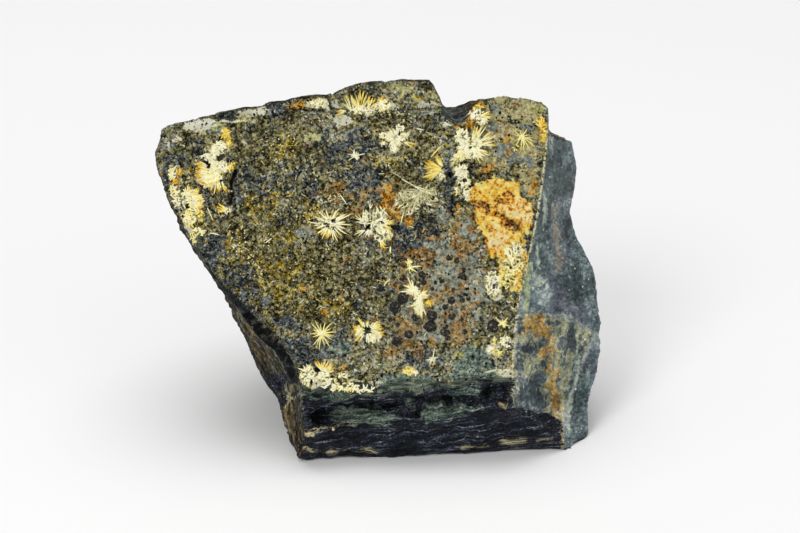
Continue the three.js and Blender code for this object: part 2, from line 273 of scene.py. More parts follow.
# Patches of the smooth right side and its panel, and from "olive" on of the lower end and weathered sides.
SIDE_PATCH_DEPTH = -16  # they end at this w
SIDE_PATCHES = {
    "orange": [
        (23.2, -10.2, 1, 0.9), (26.4, -12.6, 0.7, 0.8), (28.4, -24, 0.8, 1.6), (24.6, -8.2, 1.2, 0.3),
    ],
    "stain": [(24.4, -10.6, 3.4, 2.6), (26.6, -15, 2, 5), (28, -22.6, 1.6, 5)],
    # painted shade on the smooth side
    "shade": [
        (28.4, 16.6, 4.4, 4.2), (25.6, 4, 1.4, 8), (33, -2, 3, 4.5), (27.2, 10.4, 0.5, 3.4), (29, 23, 3, 2),
        (33, -22, 1.6, 7), (32.2, -26.4, 0.9, 0.9),
    ],
    # painted light on the smooth side
    "light": [
        (27.4, 22, 0.5, 2), (26.2, 10.2, 0.5, 3.4), (28, 10.6, 0.4, 2.6), (31.2, -26, 0.5, 5),
        (32.4, -15, 0.4, 4), (30.2, -8.8, 1.6, 0.6), (25, 2, 0.5, 2), (25.4, -2.4, 0.6, 1.2),
    ],
    "brown_streak": [(28.9, 4, 0.7, 5), (28.4, 9.5, 0.5, 2.6)],
    "lens": [(23.3, -0.8, 0.7, 1.8), (22.9, -3.8, 0.9, 2.2), (22.4, -6.4, 0.6, 1.4)],
    "blot": [
        (27.6, -10.2, 1, 0.7), (23, -14.6, 1.4, 0.9), (31.3, -12.4, 1.2, 3.4), (21.2, -10.8, 0.6, 1.6),
        (23.2, -24.4, 3, 1.8), (22.6, -21.8, 2, 2.4), (25, -20.6, 0.9, 2), (21.6, -17.6, 0.5, 2.6),
        (26, -17.4, 0.7, 0.9), (31.9, -26.4, 0.7, 0.9),
    ],
    "olive": [
        (-6.6, -26.9, 6.4, 1.9), (2.8, -25.2, 2.8, 1), (8, -25.6, 6, 1.2), (-13, -23.6, 4, 0.8),
        (10, -22.4, 5, 0.8),
    ],
    "notch": [(8.9, 27.6, 3.4, 2.6)],
    # patches of painted shade in the hollows of the lower end
    "hollow_shade": [
        (-15.3, -27.4, 1.4, 1.5), (15.3, -23.3, 1.6, 1.3), (-17.2, -23, 1.2, 1.6), (6, -24.2, 2.6, 0.5),
    ],
    "ochre": [(-20.4, -27, 1.2, 4), (-16.4, -29.9, 1.4, 0.3), (18.4, -24.8, 1, 0.3)],
}

# The black nodules: u, v and radius.
NODULES = [
    (5.6, -10.8, 1.08), (5.7, -8.9, 0.95), (2.8, -9, 0.8), (9.4, -9, 0.65), (8.1, -11.8, 0.8),
    (1.6, -12.2, 0.8), (-0.9, -7.4, 1.1), (0.6, -5.6, 1.1), (-0.4, -10.5, 0.45), (-1.8, -9.5, 0.45),
    (11.6, -11.8, 0.5), (8.1, -7.3, 0.5), (16.6, -10.8, 1.1), (8.9, 1.6, 0.6), (10.2, 1, 0.55),
    (11.2, -1.7, 0.7), (9.2, -6.1, 0.7), (4.3, -2.9, 0.5), (4, -1.5, 0.7), (6.4, -3, 0.3),
    (7.7, -2.6, 0.35), (5.8, -4, 0.4), (11.2, -6.1, 0.5), (12.3, -5.8, 0.45), (-3.4, -3.9, 0.7),
    (0.5, -2.1, 0.7), (-0.5, -13.5, 0.9), (8.6, -12.9, 0.5),
]

WARP_COARSE = 0.8  # how far the patches' outlines wander, in millimetres
WARP_FINE = 0.5


def warped(points):
    """The points moved about by noise, so that what is drawn over them has a ragged outline."""
    moved = points.copy()
    for axis, offset in ((0, 11.3), (1, 47.9)):
        moved[:, axis] += WARP_COARSE * fractal(points, 3.2, 2, offset=offset)
        moved[:, axis] += WARP_FINE * fractal(points, 0.9, 2, offset=offset + 5)
    return moved


# ---------------------------------------------------------------- the stone's mesh

# The mesh is coarse on the back. The sides have half of its cell, the face and the lower end a quarter.
COARSE_CELL = 1.2  # millimetres
DETAIL_DEPTH = -17  # the sides are fine down to this w
FACE_DEPTH = -2.6  # the decorated face lies above this w
UNDERCUT_TOP = -19.5  # the lower end and its undercut lie below this v
UNDERCUT_DEPTH = -6  # and the undercut above this w
SMOOTH_SIDE_DEPTH = -15.5  # the smooth right side ends at this w
LOWER_END_DEPTH = -19  # and the lower end at this one
SPLINTERED_TOP, SPLINTERED_DEPTH = -20, -14  # its finest cells lie below this v and above this w


def search_tree(places, mesh):
    """The mesh as a search tree, with its vertices at the given places."""
    return BVHTree.FromPolygons([Vector(p) for p in places], [p.vertices[:] for p in mesh.polygons])


def corners_of(node):
    """The vertices of a CAD solid, in millimetres on the face's axes."""
    return to_face([v.co[:] for v in frame["nodes"][node].data.vertices])


def remeshed_rock():
    """An even mesh of the CAD stone, coarse, as a bmesh in millimetres on the face's axes."""
    piece = add_object("remesh", frame["nodes"]["rock"].data.copy())
    modifier = piece.modifiers.new("even", "REMESH")
    modifier.mode = "VOXEL"
    modifier.voxel_size = COARSE_CELL * MM
    evaluated = piece.evaluated_get(bpy.context.evaluated_depsgraph_get())
    bm = bmesh.new()
    bm.from_mesh(evaluated.to_mesh())
    bpy.data.objects.remove(piece)
    for vertex, place in zip(bm.verts, to_face([v.co[:] for v in bm.verts])):
        vertex.co = place
    return bm


def refine(bm, wanted):
    """Halves the cells of the faces for which wanted(centre, normal) is true."""
    bm.normal_update()
    edges = {e for f in bm.faces if wanted(f.calc_center_median(), f.normal) for e in f.edges}
    bmesh.ops.subdivide_edges(bm, edges=list(edges), cuts=1, use_grid_fill=True)


def is_visible_side(centre, normal):
    return centre.z > DETAIL_DEPTH and normal.z > -0.6


def is_front(centre, normal):
    return centre.z > FACE_DEPTH and normal.z > 0.5


def is_lower_end(centre, normal):
    below = centre.y < SPLINTERED_TOP and centre.z > SPLINTERED_DEPTH
    return below and normal.z > -0.3 and not is_front(centre, normal)


def snapped(bm, surface):
    """Moves the vertices onto the CAD surface. Returns their places and the CAD normals there."""
    places, normals = [], []
    for vertex in bm.verts:
        place, normal, _, _ = surface.find_nearest(vertex.co)
        vertex.co = place
        places.append(place[:])
        normals.append(normal[:])
    return np.array(places), np.array(normals)


def cracks(points):
    """The cracks of the decorated face: how much painted shade darkens each point in them, and how deep they
    go there.
    """
    wander = 0.30 * fractal(points, 1.8, 3, 0.7, offset=13)
    broken = smoothstep(-0.8, -0.2, fractal(points, 3.0, 2, offset=15))
    dark = np.zeros(len(points))
    depth = np.zeros(len(points))
    for line, width, deep in CRACKS:
        inside = broken * near(distance_to_line(points[:, :2], line) + wander, width)
        dark = np.maximum(dark, min(1.0, deep) * inside)
        depth = np.maximum(depth, deep * inside)
    return dark, depth


def lumps(points):
    """The rough surface of the decorated face, about -1 to 1."""
    return 0.5 * fractal(points, 1.9, 3, 0.8, offset=7) + 0.5 * fractal(points, 0.75, 2, 0.8, offset=9)


# How deep or high the large shapes of the face are, and over what distance they fade, in millimetres.
FOOT_DROP, FOOT_REACH = 1.7, 2.6
BEVEL_DROP, BEVEL_REACH = 1.1, 2.2
RIGHT_BLOCK_RISE = 0.5
CRUST_RISE = 0.5


def face_relief(p, lump, crack_depth):
    """How far the decorated face stands out or in, in millimetres."""
    u, v = p[:, 0], p[:, 1]
    relief = 0.3 * fractal(p, 9, 3, offset=3) + 0.46 * lump - crack_depth
    below_foot = height_of(FACE_FOOT, u) - v + 0.5 * fractal(p, 2.5, 2, offset=17)
    relief -= FOOT_DROP * np.clip(below_foot / FOOT_REACH, 0, 1) ** 1.4
    above_bevel = v - height_of(TOP_BEVEL, u) + 0.3 * fractal(p, 2, 2, offset=18)
    relief -= BEVEL_DROP * np.clip(above_bevel / BEVEL_REACH, 0, 1) * (u < TOP_BEVEL[-1][0])
    relief += RIGHT_BLOCK_RISE * smoothstep(9.2, 10.4, u) * smoothstep(12, 16, v)
    crust = outline_field(warped(p), CRUST_OUTLINE, 0.5)
    folds = 0.45 - np.abs(fractal(p, (2.6, 1.7, 2), 3, 0.7, offset=20))
    relief += crust * (CRUST_RISE + 0.4 * fractal(p, 2.6, 3, 0.8, offset=19) + 0.7 * folds)
    relief -= 0.25 * lump * patch_field(p, PATCHES["smooth"])
    return relief


def side_relief(p, normal):
    """The same for the sides, the lower end and the back.

    Where the layers of the stone are seen from their edges it is splintered, and its back is chipped. The
    smooth right side is slick, and its panel stands out below the ridge.
    """
    slick = smoothstep(0.35, 0.6, normal[:, 0]) * smoothstep(SMOOTH_SIDE_DEPTH, -13.5, p[:, 2])
    slick *= smoothstep(-0.6, 0.4, p[:, 1] - height_of(PANEL_FOOT, p[:, 0]))
    edge_on = 1 - np.abs(normal[:, 2])
    leaves = fractal(p, (11, 11, 1.3), 4, 0.7, offset=31)
    splinters = fractal(p, (9, 4, 0.55), 3, 0.6, offset=37)
    steps = np.abs(fractal(p, (16, 16, 2.4), 3, 0.7, offset=39))
    rough = 0.9 * fractal(p, 13, 4, offset=41) + 0.25 * fractal(p, 2.4, 3, offset=43)
    chips = np.array([noise.voronoi(Vector(q))[0][0] for q in p / 6.5])
    broken = edge_on * (0.42 * leaves + 0.13 * splinters - 0.9 * steps)
    broken += np.where(p[:, 2] < -13, rough - 0.8 * (0.5 - chips), 0.35 * rough)
    below_ridge = height_of(RIDGE, p[:, 0]) - p[:, 1]
    panel = 0.55 * smoothstep(-0.1, 0.7, below_ridge) * smoothstep(14, 3, below_ridge)
    panel += 0.1 * fractal(p, (0.9, 5, 0.9), 3, 0.7, offset=52) * smoothstep(0, 1, below_ridge)
    waves = 0.24 * fractal(p, (8, 14, 8), 3, offset=51) + 0.08 * fractal(p, 1.5, 3, offset=53)
    return broken * (1 - slick) + (waves + panel) * slick


FACE, SMOOTH_SIDE, LOWER_END, WEATHERED = range(4)


def surface_kind(places, normals):
    """Which material each vertex of the stone takes."""
    u, v, w = places.T
    right, up, out = normals.T
    kind = np.full(len(places), WEATHERED)
    kind[(up < -0.3) & (v < UNDERCUT_TOP) & (w > LOWER_END_DEPTH)] = LOWER_END
    on_right = (right > 0.42) & (right > up) & (u > 18) & (w > SMOOTH_SIDE_DEPTH)
    kind[on_right] = SMOOTH_SIDE
    kind[on_right & (v < height_of(PANEL_FOOT, u))] = LOWER_END
    undercut = (v < UNDERCUT_TOP) & (v < height_of(FACE_FOOT, u) + 0.3) & (w > UNDERCUT_DEPTH)
    kind[undercut & (u > -17.4) & (u < 20.6) & (kind != SMOOTH_SIDE)] = LOWER_END
    kind[(out > 0.9) & (w > FACE_DEPTH) & (v > height_of(FACE_FOOT, u) - 0.6)] = FACE
    return kind


def ragged_rims(p):
    """How far each vertex moves in the face's plane, so that the rims of the undercut are ragged."""
    share = smoothstep(UNDERCUT_TOP, -22.5, p[:, 1]) * smoothstep(-9, -5, p[:, 2])
    shift = np.zeros(p.shape)
    shift[:, 0] = 0.5 * share * fractal(p, 2.2, 3, 0.7, offset=61)
    shift[:, 1] = 0.9 * share * fractal(p, (4.5, 2.2, 3), 3, 0.7, offset=63)
    return shift


def stone_relief(places, normals, on_face, lump, crack_depth):
    """How far each vertex of the stone stands out from the CAD surface, in millimetres."""
    relief = np.zeros(len(places))
    relief[on_face] = face_relief(places[on_face], lump[on_face], crack_depth[on_face])
    relief[~on_face] = side_relief(places[~on_face], normals[~on_face])
    return relief


def build_stone(materials):
    """The stone, and the places of its vertices in millimetres on the face's axes."""
    bm = remeshed_rock()
    for wanted in (is_visible_side, is_front, is_lower_end):
        refine(bm, wanted)
    places, normals = snapped(bm, search_tree(corners_of("rock"), frame["nodes"]["rock"].data))
    bm.normal_update()
    outwards = np.array([v.normal[:] for v in bm.verts])
    kind = surface_kind(places, normals)
    on_face = kind == FACE
    crack_shade, crack_depth = cracks(places)
    lump = lumps(places)
    outwards[on_face] = 0, 0, 1
    relief = stone_relief(places, normals, on_face, lump, crack_depth)
    moved = places + relief[:, None] * outwards + ragged_rims(places)
    world = to_world(moved)
    world[:, 2] = np.maximum(world[:, 2], 0)
    for vertex, place in zip(bm.verts, world):
        vertex.co = place
    bmesh.ops.triangulate(bm, faces=bm.faces)
    bm.normal_update()
    mesh = bpy.data.meshes.new("stone")
    bm.to_mesh(mesh)
    bm.free()
    mesh.shade_smooth()
    add_attribute(mesh, "place", places)
    add_masks(mesh, places, on_face)
    add_attribute(mesh, "edge_on", 1 - np.abs(normals[:, 2]))
    # how much painted shade darkens each point in the cracks
    add_attribute(mesh, "crack_shade", crack_shade * on_face)
    # the face's lumps, which also darken its colour in the dips as painted shade
    add_attribute(mesh, "relief", lump * on_face)
    for each in materials:
        mesh.materials.append(each)
    corner_kinds = kind[np.array([p.vertices[:] for p in mesh.polygons])]
    middle_kind = np.sort(corner_kinds, axis=1)[:, 1]
    mesh.polygons.foreach_set("material_index", middle_kind.astype(np.int32))
    return add_object("stone", mesh), moved


def add_object(name, data):
    """A new object of the scene."""
    made = bpy.data.objects.new(name, data)
    bpy.context.scene.collection.objects.link(made)
    return made


def add_attribute(mesh, name, values):
    """Gives every vertex its value, or its vector where the values are rows of three."""
    values = np.asarray(values, np.float32)
    kind, field = ("FLOAT", "value") if values.ndim == 1 else ("FLOAT_VECTOR", "vector")
    mesh.attributes.new(name, kind, "POINT").data.foreach_set(field, values.ravel())


def add_masks(mesh, places, on_face):
    """The patches of colour, the crust, and the lines of the sides, as attributes of the mesh."""
    spots = warped(places)
    flat = places[:, :2]
    for name, patches in PATCHES.items():
        add_attribute(mesh, name, patch_field(spots, patches) * on_face)
    for name, patches in SIDE_PATCHES.items():
        add_attribute(mesh, name, patch_field(spots, patches) * (places[:, 2] > SIDE_PATCH_DEPTH))
    add_attribute(mesh, "crust", outline_field(spots, CRUST_OUTLINE, 0.8) * on_face)
    rings = [near(np.hypot(*(flat - (u, v)).T) - radius - 0.15, 0.2) for u, v, radius in NODULES]
    add_attribute(mesh, "ring", np.max(rings, axis=0) * on_face)
    below_ridge = height_of(RIDGE, spots[:, 0]) - spots[:, 1]
    beside_pillar = height_of([(v, u) for u, v in reversed(PILLAR_EDGE)], spots[:, 1]) - spots[:, 0]
    add_attribute(mesh, "panel", smoothstep(0, 0.8, below_ridge) * smoothstep(-0.2, 0.8, beside_pillar))
    # painted highlights along the edges, partly pale seams
    pale = [near(distance_to_line(flat, line), width) for line, width in PALE_LINES_AND_HIGHLIGHTS]
    add_attribute(mesh, "pale_line_and_highlight", np.max(pale, axis=0))
    laces, holes = [], []
    for node, parts in SPRAYS.items():
        middle = middle_of(node)
        for lace in (part for part in parts if isinstance(part, Lace)):
            laces.append((*(middle + lace.middle), *lace.reach))
            holes += [(*(middle + hole), size, size) for hole, size in lace.holes]
    add_attribute(mesh, "felt", patch_field(spots, laces) * on_face)
    # the holes in the lace, where the stone is painted near black: its own dark colour deepened by painted
    # shade among the needles
    add_attribute(mesh, "eye", patch_field(places + 0.5 * (spots - places), holes) * on_face)
    add_attribute(mesh, "lip", smoothstep(-20.3, -21.3, spots[:, 1] - 0.06 * places[:, 0]) * on_face)
    # painted shadow along the narrow groove in the left side
    add_attribute(mesh, "slit_shadow", smoothstep(1.5, 0.5, distance_to_line(flat, SLIT)))


# ---------------------------------------------------------------- materials

def srgb(red, green, blue):
    """A colour given as 0 to 255 on screen, as the linear colour that shaders take."""
    def linear(value):
        value /= 255
        return value / 12.92 if value <= 0.04045 else ((value + 0.055) / 1.055) ** 2.4
    return (linear(red), linear(green), linear(blue), 1.0)


class Shader:
    """A material under construction, with short names for the nodes that it is made of."""

    def __init__(self, name):
        self.material = bpy.data.materials.new(name)
        self.material.use_nodes = True
        self.tree = self.material.node_tree
        self.surface = self.tree.nodes["Principled BSDF"]

    def set(self, socket, value):
        if isinstance(value, bpy.types.NodeSocket):
            self.tree.links.new(value, socket)
        elif isinstance(value, tuple) and socket.type == "RGBA":
            socket.default_value = srgb(*value)
        else:
            socket.default_value = value

    def node(self, kind, inputs, **settings):
        """A new node with these inputs, which are sockets or values, by name or by number."""
        made = self.tree.nodes.new("ShaderNode" + kind)
        for name, value in settings.items():
            setattr(made, name, value)
        for name, value in inputs.items():
            self.set(made.inputs[name], value)
        return made

    def math(self, operation, *values):
        return self.node("Math", dict(enumerate(values)), operation=operation).outputs[0]

    def times(self, field, factor):
        return self.math("MULTIPLY", field, factor)

    def sum(self, first, *others):
        total = first
        for other in others:
            total = self.math("ADD", total, other)
        return total

    def swing(self, field, amount):
        """A field of 0 to 1 as a swing about zero, as wide as amount."""
        return self.math("MULTIPLY_ADD", field, amount, -0.5 * amount)

    def step(self, value, low, high):
        """0 where the value is below low, 1 where it is above high, and smooth between them."""
        inputs = {"Value": value, "From Min": low, "From Max": high}
        return self.node("MapRange", inputs, interpolation_type="SMOOTHSTEP").outputs["Result"]

    def attribute(self, name, output="Fac"):
        return self.node("Attribute", {}, attribute_name=name).outputs[output]

    def inside(self, name, low, high, *swings):
        """How far inside the patches of that name a point is. The swings fray their edges."""
        return self.step(self.sum(self.attribute(name), *swings), low, high)

    def stretched(self, where, scale, offset=0.0):
        return self.node("Mapping", {"Vector": where, "Scale": scale, "Location": (offset,) * 3}).outputs[0]

    def turned(self, where, angle):
        """The coordinates turned in the plane of the face."""
        return self.node("VectorRotate", {"Vector": where, "Angle": angle}, rotation_type="Z_AXIS").outputs[0]

    def place(self, scale=(1, 1, 1), offset=0.0):
        """u, v, w in millimetres on the stone's unworn surface."""
        return self.stretched(self.attribute("place", "Vector"), scale, offset)

    def shifted(self, where, size, amount):
        """The coordinates moved about by noise."""
        wander = self.node("TexNoise", {"Vector": where, "Scale": 1 / size, "Detail": 3.0}).outputs["Color"]
        centred = self.node("VectorMath", {0: wander, 1: (0.5, 0.5, 0.5)}, operation="SUBTRACT").outputs[0]
        scaled = self.node("VectorMath", {0: centred, "Scale": amount}, operation="SCALE").outputs[0]
        return self.node("VectorMath", {0: where, 1: scaled}, operation="ADD").outputs[0]

    def cloud(self, where, size, detail=4.0, roughness=0.6):
        """Fractal noise, 0 to 1 about 0.5, whose largest lumps are size millimetres apart."""
        inputs = {"Vector": where, "Scale": 1 / size, "Detail": detail, "Roughness": roughness}
        return self.node("TexNoise", inputs).outputs["Fac"]

    def cells(self, where, size):
        """Grains of about size millimetres: for each its random colour, and the distance to its middle."""
        outputs = self.node("TexVoronoi", {"Vector": where, "Scale": 1 / size}).outputs
        return outputs["Color"], outputs["Distance"]

    def channel(self, colour, name="Red"):
        return self.node("SeparateColor", {"Color": colour}).outputs[name]

    def grains(self, where, size):
        """A random value, 0 to 1, for each grain."""
        return self.channel(self.cells(where, size)[0])

    def strokes(self, where, patch, length, width):
        """Short streaks, 0 to 1, in patches that each turn them their own way."""
        angle = self.times(self.channel(self.cells(where, patch)[0], "Blue"), math.tau)
        drawn = self.stretched(self.turned(where, angle), (1 / length, 1 / width, 1 / width))
        return self.cloud(drawn, 1, 2, 0.5)

    def ramp(self, value, stops):
        made = self.node("ValToRGB", {"Fac": value})
        elements = made.color_ramp.elements
        while len(elements) < len(stops):
            elements.new(1.0)
        for element, (position, colour) in zip(elements, stops):
            element.position = position
            element.color = srgb(*colour)
        return made.outputs["Color"]

    def palette(self, value, colours):
        """Five colours, dark to light, spread over a value of about 0 to 1."""
        return self.ramp(value, list(zip(PALETTE_STOPS, colours)))

    def coats(self, colour, coats):
        """Lays one colour after another over the first. Each comes with its share, 0 to 1."""
        for share, coat in coats:
            colour = self.node("Mix", {0: share, 6: colour, 7: coat}, data_type="RGBA").outputs[2]
        return colour

    def finish(self, colour, roughness, specular=0.5, height=None, depth=0.0):
        """Ends the material. Its bumps are depth millimetres deep for a height of 0 to 1."""
        self.set(self.surface.inputs["Base Color"], colour)
        self.set(self.surface.inputs["Roughness"], roughness)
        self.surface.inputs["Specular IOR Level"].default_value = specular
        if height is not None:
            bump = self.node("Bump", {"Height": height, "Distance": depth * MM})
            self.set(self.surface.inputs["Normal"], bump.outputs["Normal"])
        return self.material


PALETTE_STOPS = (0.04, 0.27, 0.46, 0.66, 0.96)
GREY_OLIVE = [(12, 14, 9), (52, 55, 42), (95, 99, 81), (142, 145, 122), (222, 220, 192)]
WARM_OLIVE = [(16, 14, 5), (58, 53, 28), (104, 99, 62), (152, 146, 102), (228, 220, 170)]
GOLDEN = [(40, 34, 4), (106, 88, 18), (166, 142, 40), (214, 188, 72), (250, 240, 152)]
BROWN = [(32, 22, 8), (90, 68, 32), (136, 106, 58), (176, 146, 94), (220, 198, 156)]
SLATE = [(7, 9, 10), (38, 43, 44), (72, 79, 78), (114, 121, 115), (198, 202, 188)]
UMBER = [(38, 22, 4), (106, 74, 28), (158, 118, 58), (192, 154, 92), (230, 208, 158)]
SLATE_BLUE = [(12, 14, 19), (40, 47, 54), (68, 76, 82), (102, 110, 112), (178, 184, 176)]
GREY_GREEN = [(38, 44, 38), (100, 107, 92), (142, 148, 130), (174, 180, 162), (220, 222, 204)]
BLOCK = [(78, 76, 44), (150, 143, 95), (190, 179, 122), (216, 204, 148), (248, 240, 194)]
BLUISH = [(52, 60, 60), (98, 110, 108), (128, 140, 134), (156, 164, 152), (206, 208, 190)]
TEAL = [(18, 30, 28), (60, 80, 76), (98, 122, 112), (142, 160, 142), (216, 226, 200)]
RUST = [(56, 24, 0), (146, 78, 6), (204, 130, 20), (232, 174, 52), (248, 222, 140)]
LIME = [(52, 56, 14), (118, 120, 50), (162, 160, 84), (200, 196, 118), (240, 236, 182)]
CREAMY = [(66, 58, 26), (180, 168, 104), (246, 240, 186), (255, 252, 218), (255, 255, 244)]
FELT = [(36, 32, 16), (120, 112, 70), (186, 178, 128), (230, 222, 172), (254, 250, 212)]
CRUST_YELLOW = [(90, 44, 0), (204, 120, 0), (255, 184, 12), (255, 210, 44), (255, 240, 150)]
CRUST_PINK = [(104, 52, 8), (204, 122, 30), (250, 172, 58), (255, 214, 112), (255, 244, 196)]
# the deep orange-brown of the crust, also laid as painted shade along its folds
CRUST_DEEP_AND_SHADE = [(40, 16, 0), (148, 72, 0), (218, 120, 2), (246, 168, 18), (255, 226, 104)]

# How a colour spreads over the decorated face: the size of its islands, the noise value above which they
# begin, and how much its patches lower that. First over the granular ground, then as smoother patches
# and last as speckled ones.
GRANULAR = {
    "warm": (3.0, 0.53, 0.16, WARM_OLIVE),
    "slate": (2.4, 0.60, 0.18, SLATE),
    "gold": (0.95, 0.63, 0.11, GOLDEN),
}
SMOOTHER = {
    "slate": (1.5, 0.66, 0.14, SLATE_BLUE),
    "smooth": (1.5, 0.675, 0.28, GREY_GREEN),
    "teal": (1.8, 0.74, 0.36, TEAL),
    "block": (1.6, 0.80, 0.36, BLOCK),
    "bluish": (1.2, 0.78, 0.34, BLUISH),
    "umber": (1.9, 0.665, 0.14, UMBER),
    "tan": (1.6, 0.69, 0.24, UMBER),
}
SPECKLED = {
    "rust": (1.1, 0.75, 0.32, RUST),
    "lime": (0.9, 0.76, 0.30, LIME),
    "cream": (0.7, 0.68, 0.40, CREAMY),
}

# Single grains of other colours among them: the middle and half the width of their share of a random pick.
SPRINKLES = [(0.05, 0.05, SLATE), (0.15, 0.01, GOLDEN), (0.20, 0.04, BROWN), (0.28, 0.03, CREAMY),
             (0.35, 0.04, LIME), (0.44, 0.05, GREY_GREEN)]
LIP = [(5, 9, 10), (42, 52, 49), (88, 100, 90), (134, 144, 124), (206, 210, 180)]

DULL = 0.12  # the specular level of the bare stone


def decorated_face():
    """A felt of small grains in many colours, with smoother patches, pits painted dark as shade, and pale
    scratches.
    """
    s = Shader("decorated_face")
    at = s.shifted(s.place(), 0.6, 0.35)
    grain, _ = s.cells(at, 0.36)
    chunk, _ = s.cells(at, 0.9)
    pick = s.channel(grain, "Green")
    tone = s.cloud(at, 0.8, 6, 0.8)
    scratch = s.strokes(at, 1.5, 1.3, 0.15)
    broad = s.cloud(s.place(), 5)
    # The value is lighter on the lumps of the face's relief and darker in its dips: painted shade.
    value = s.sum(
        0.455, s.swing(s.channel(grain), 0.52), s.swing(s.channel(chunk), 0.32), s.swing(tone, 2.2),
        s.swing(scratch, 1), s.swing(broad, 0.8), s.times(s.attribute("relief"), 0.14),
        s.times(s.attribute("bright"), 0.16))
    calm = s.sum(
        0.54, s.swing(s.channel(grain), 0.26), s.swing(tone, 3.1), s.swing(broad, 0.9), s.swing(scratch, 0.4))
    ragged = s.sum(s.swing(pick, 0.07), s.swing(s.channel(chunk, "Green"), 0.06))
    layers = s.sum(
        0.45, s.swing(s.cloud(s.place((0.12, 1, 1)), 0.5, 5, 0.8), 2.6), s.swing(broad, 1.2))
    crust_value = crust_lightness(s, tone, pick)
    on_crust = s.inside("crust", 0.45, 0.52, ragged, s.swing(tone, 3))
    felted = s.inside("felt", 0.45, 0.6, s.swing(pick, 0.5), s.swing(tone, 1))
    eye = s.inside("eye", 0.4, 0.6, s.swing(tone, 1.4))
    pale_line_and_highlight = s.inside("pale_line_and_highlight", 0.42, 0.6, s.swing(pick, 0.3), s.swing(tone, 1.4))
    off_crust = s.math("SUBTRACT", 1, s.times(on_crust, 0.8))
    colour = s.coats(s.palette(value, GREY_OLIVE), [
        *((s.math("COMPARE", pick, *share), s.palette(value, colours)) for *share, colours in SPRINKLES),
        *islands(s, value, ragged, GRANULAR, 0.02),
        *islands(s, calm, s.times(ragged, 0.5), SMOOTHER, 0.04),
        *islands(s, s.sum(value, 0.19), ragged, SPECKLED, 0.025),
        (on_crust, crust(s, tone, crust_value)),
        (s.times(felted, 0.85), s.palette(value, FELT)),
        # the holes in the lace painted near black: the dark stone deepened by painted shade
        (s.times(eye, 0.95), s.palette(value, SHADE_BLACK)),
        (s.inside("lip", 0.35, 0.65, s.swing(tone, 1)), s.palette(layers, LIP)),
        (s.step(scratch, 0.67, 0.73), (222, 214, 170)),
        (s.times(s.attribute("ring"), 0.45), (190, 188, 158)),
        # painted highlights along the edges, partly pale seams
        (pale_line_and_highlight, s.palette(value, CREAMY)),
        # painted shade in the pits, near black
        (s.times(pits(s, at), off_crust), (10, 9, 5)),
        # painted shade in the cracks, near black
        (s.inside("crack_shade", 0.25, 0.8), (18, 15, 9)),
    ])
    height = s.sum(s.times(value, off_crust), tone, s.times(crust_value, 0.12))
    return s.finish(colour, s.math("MULTIPLY_ADD", pick, 0.3, 0.4), DULL, height, 0.24)


def islands(s, value, ragged, colours, soft):
    """Islands of each colour, thickest in its patches, as coats with edges that are this soft."""
    coats = []
    for name, (size, begins, lift, palette) in colours.items():
        field = s.math("MULTIPLY_ADD", s.attribute(name), lift,
                       s.sum(s.cloud(s.place(offset=17.3 * size), size, 4, 0.65), ragged))
        coats.append((s.step(field, begins - soft, begins + soft), s.palette(value, palette)))
    return coats


def pits(s, at):
    """Small pits, painted dark as the shade in them, in clusters."""
    colour, distance = s.cells(at, 0.6)
    clusters = s.swing(s.cloud(s.place(offset=91), 2.6, 3), 1.1)
    size = s.sum(s.times(s.channel(colour, "Blue"), 0.5), -0.2, clusters)
    return s.step(s.math("SUBTRACT", size, distance), -0.05, 0.05)


def crust_lightness(s, tone, pick):
    """How light the crust is, 0 to 1: lumpy, and darkened by painted shade along its folds."""
    _, lumps = s.cells(s.shifted(s.place(offset=3), 0.6, 0.9), 0.7)
    return s.sum(
        0.67, s.swing(tone, 3.4), s.swing(pick, 0.4), s.swing(lumps, 0.9),
        s.swing(s.cloud(s.place(offset=40), 2, 4, 0.7), 2.4),
        s.times(s.attribute("fold_shade"), -0.42), s.times(s.attribute("pink"), 0.04))


def crust(s, tone, value):
    """The rumpled ochre crust on the right: a pale lace over yellow, pink and brown, with painted shade in
    brown along its folds.
    """
    hue = s.cloud(s.place(offset=50), 2.2, 5, 0.65)
    pinkish = s.math("MULTIPLY_ADD", s.attribute("pink"), 0.22, hue)
    # deeper where the hue is low, and painted shade along the folds
    deep = s.math("MULTIPLY_ADD", s.attribute("fold_shade"), 0.3, s.math("SUBTRACT", 1, hue))
    inputs = {"Vector": s.shifted(s.place(offset=3), 0.6, 0.9), "Scale": 1.3}
    edge = s.node("TexVoronoi", inputs, feature="DISTANCE_TO_EDGE").outputs["Distance"]
    lace = s.times(s.step(edge, 0.11, 0.04), s.step(tone, 0.4, 0.54))
    return s.coats(s.palette(value, CRUST_YELLOW), [
        (s.step(pinkish, 0.6, 0.66), s.palette(value, CRUST_PINK)),
        (s.step(deep, 0.57, 0.63), s.palette(value, CRUST_DEEP_AND_SHADE)),
        (s.times(lace, 0.6), (255, 238, 150)),
    ])


def stains(s, value, palettes):
    """The side patches of the given names as coats, with frayed edges: real stains, and patches of painted
    shade and light.
    """
    fray = s.swing(s.cloud(s.place(offset=23), 0.9, 4, 0.7), 1.9)
    return [(s.inside(name, 0.3, 0.75, fray), s.palette(value, colours))
            for name, colours in palettes.items()]


SIDE_GREY = [(20, 30, 34), (62, 77, 82), (96, 113, 117), (132, 147, 146), (212, 220, 214)]
SIDE_PURPLE = [(30, 35, 42), (68, 76, 84), (96, 105, 113), (124, 132, 136), (204, 207, 204)]
SIDE_BLOT = [(10, 16, 20), (40, 51, 56), (66, 79, 83), (98, 110, 110), (176, 184, 178)]
PANEL_GREY = [(34, 44, 40), (94, 104, 88), (138, 143, 117), (174, 175, 142), (230, 228, 198)]
PANEL_ORANGE = [(50, 34, 10), (116, 88, 34), (164, 128, 54), (196, 164, 92), (230, 212, 158)]
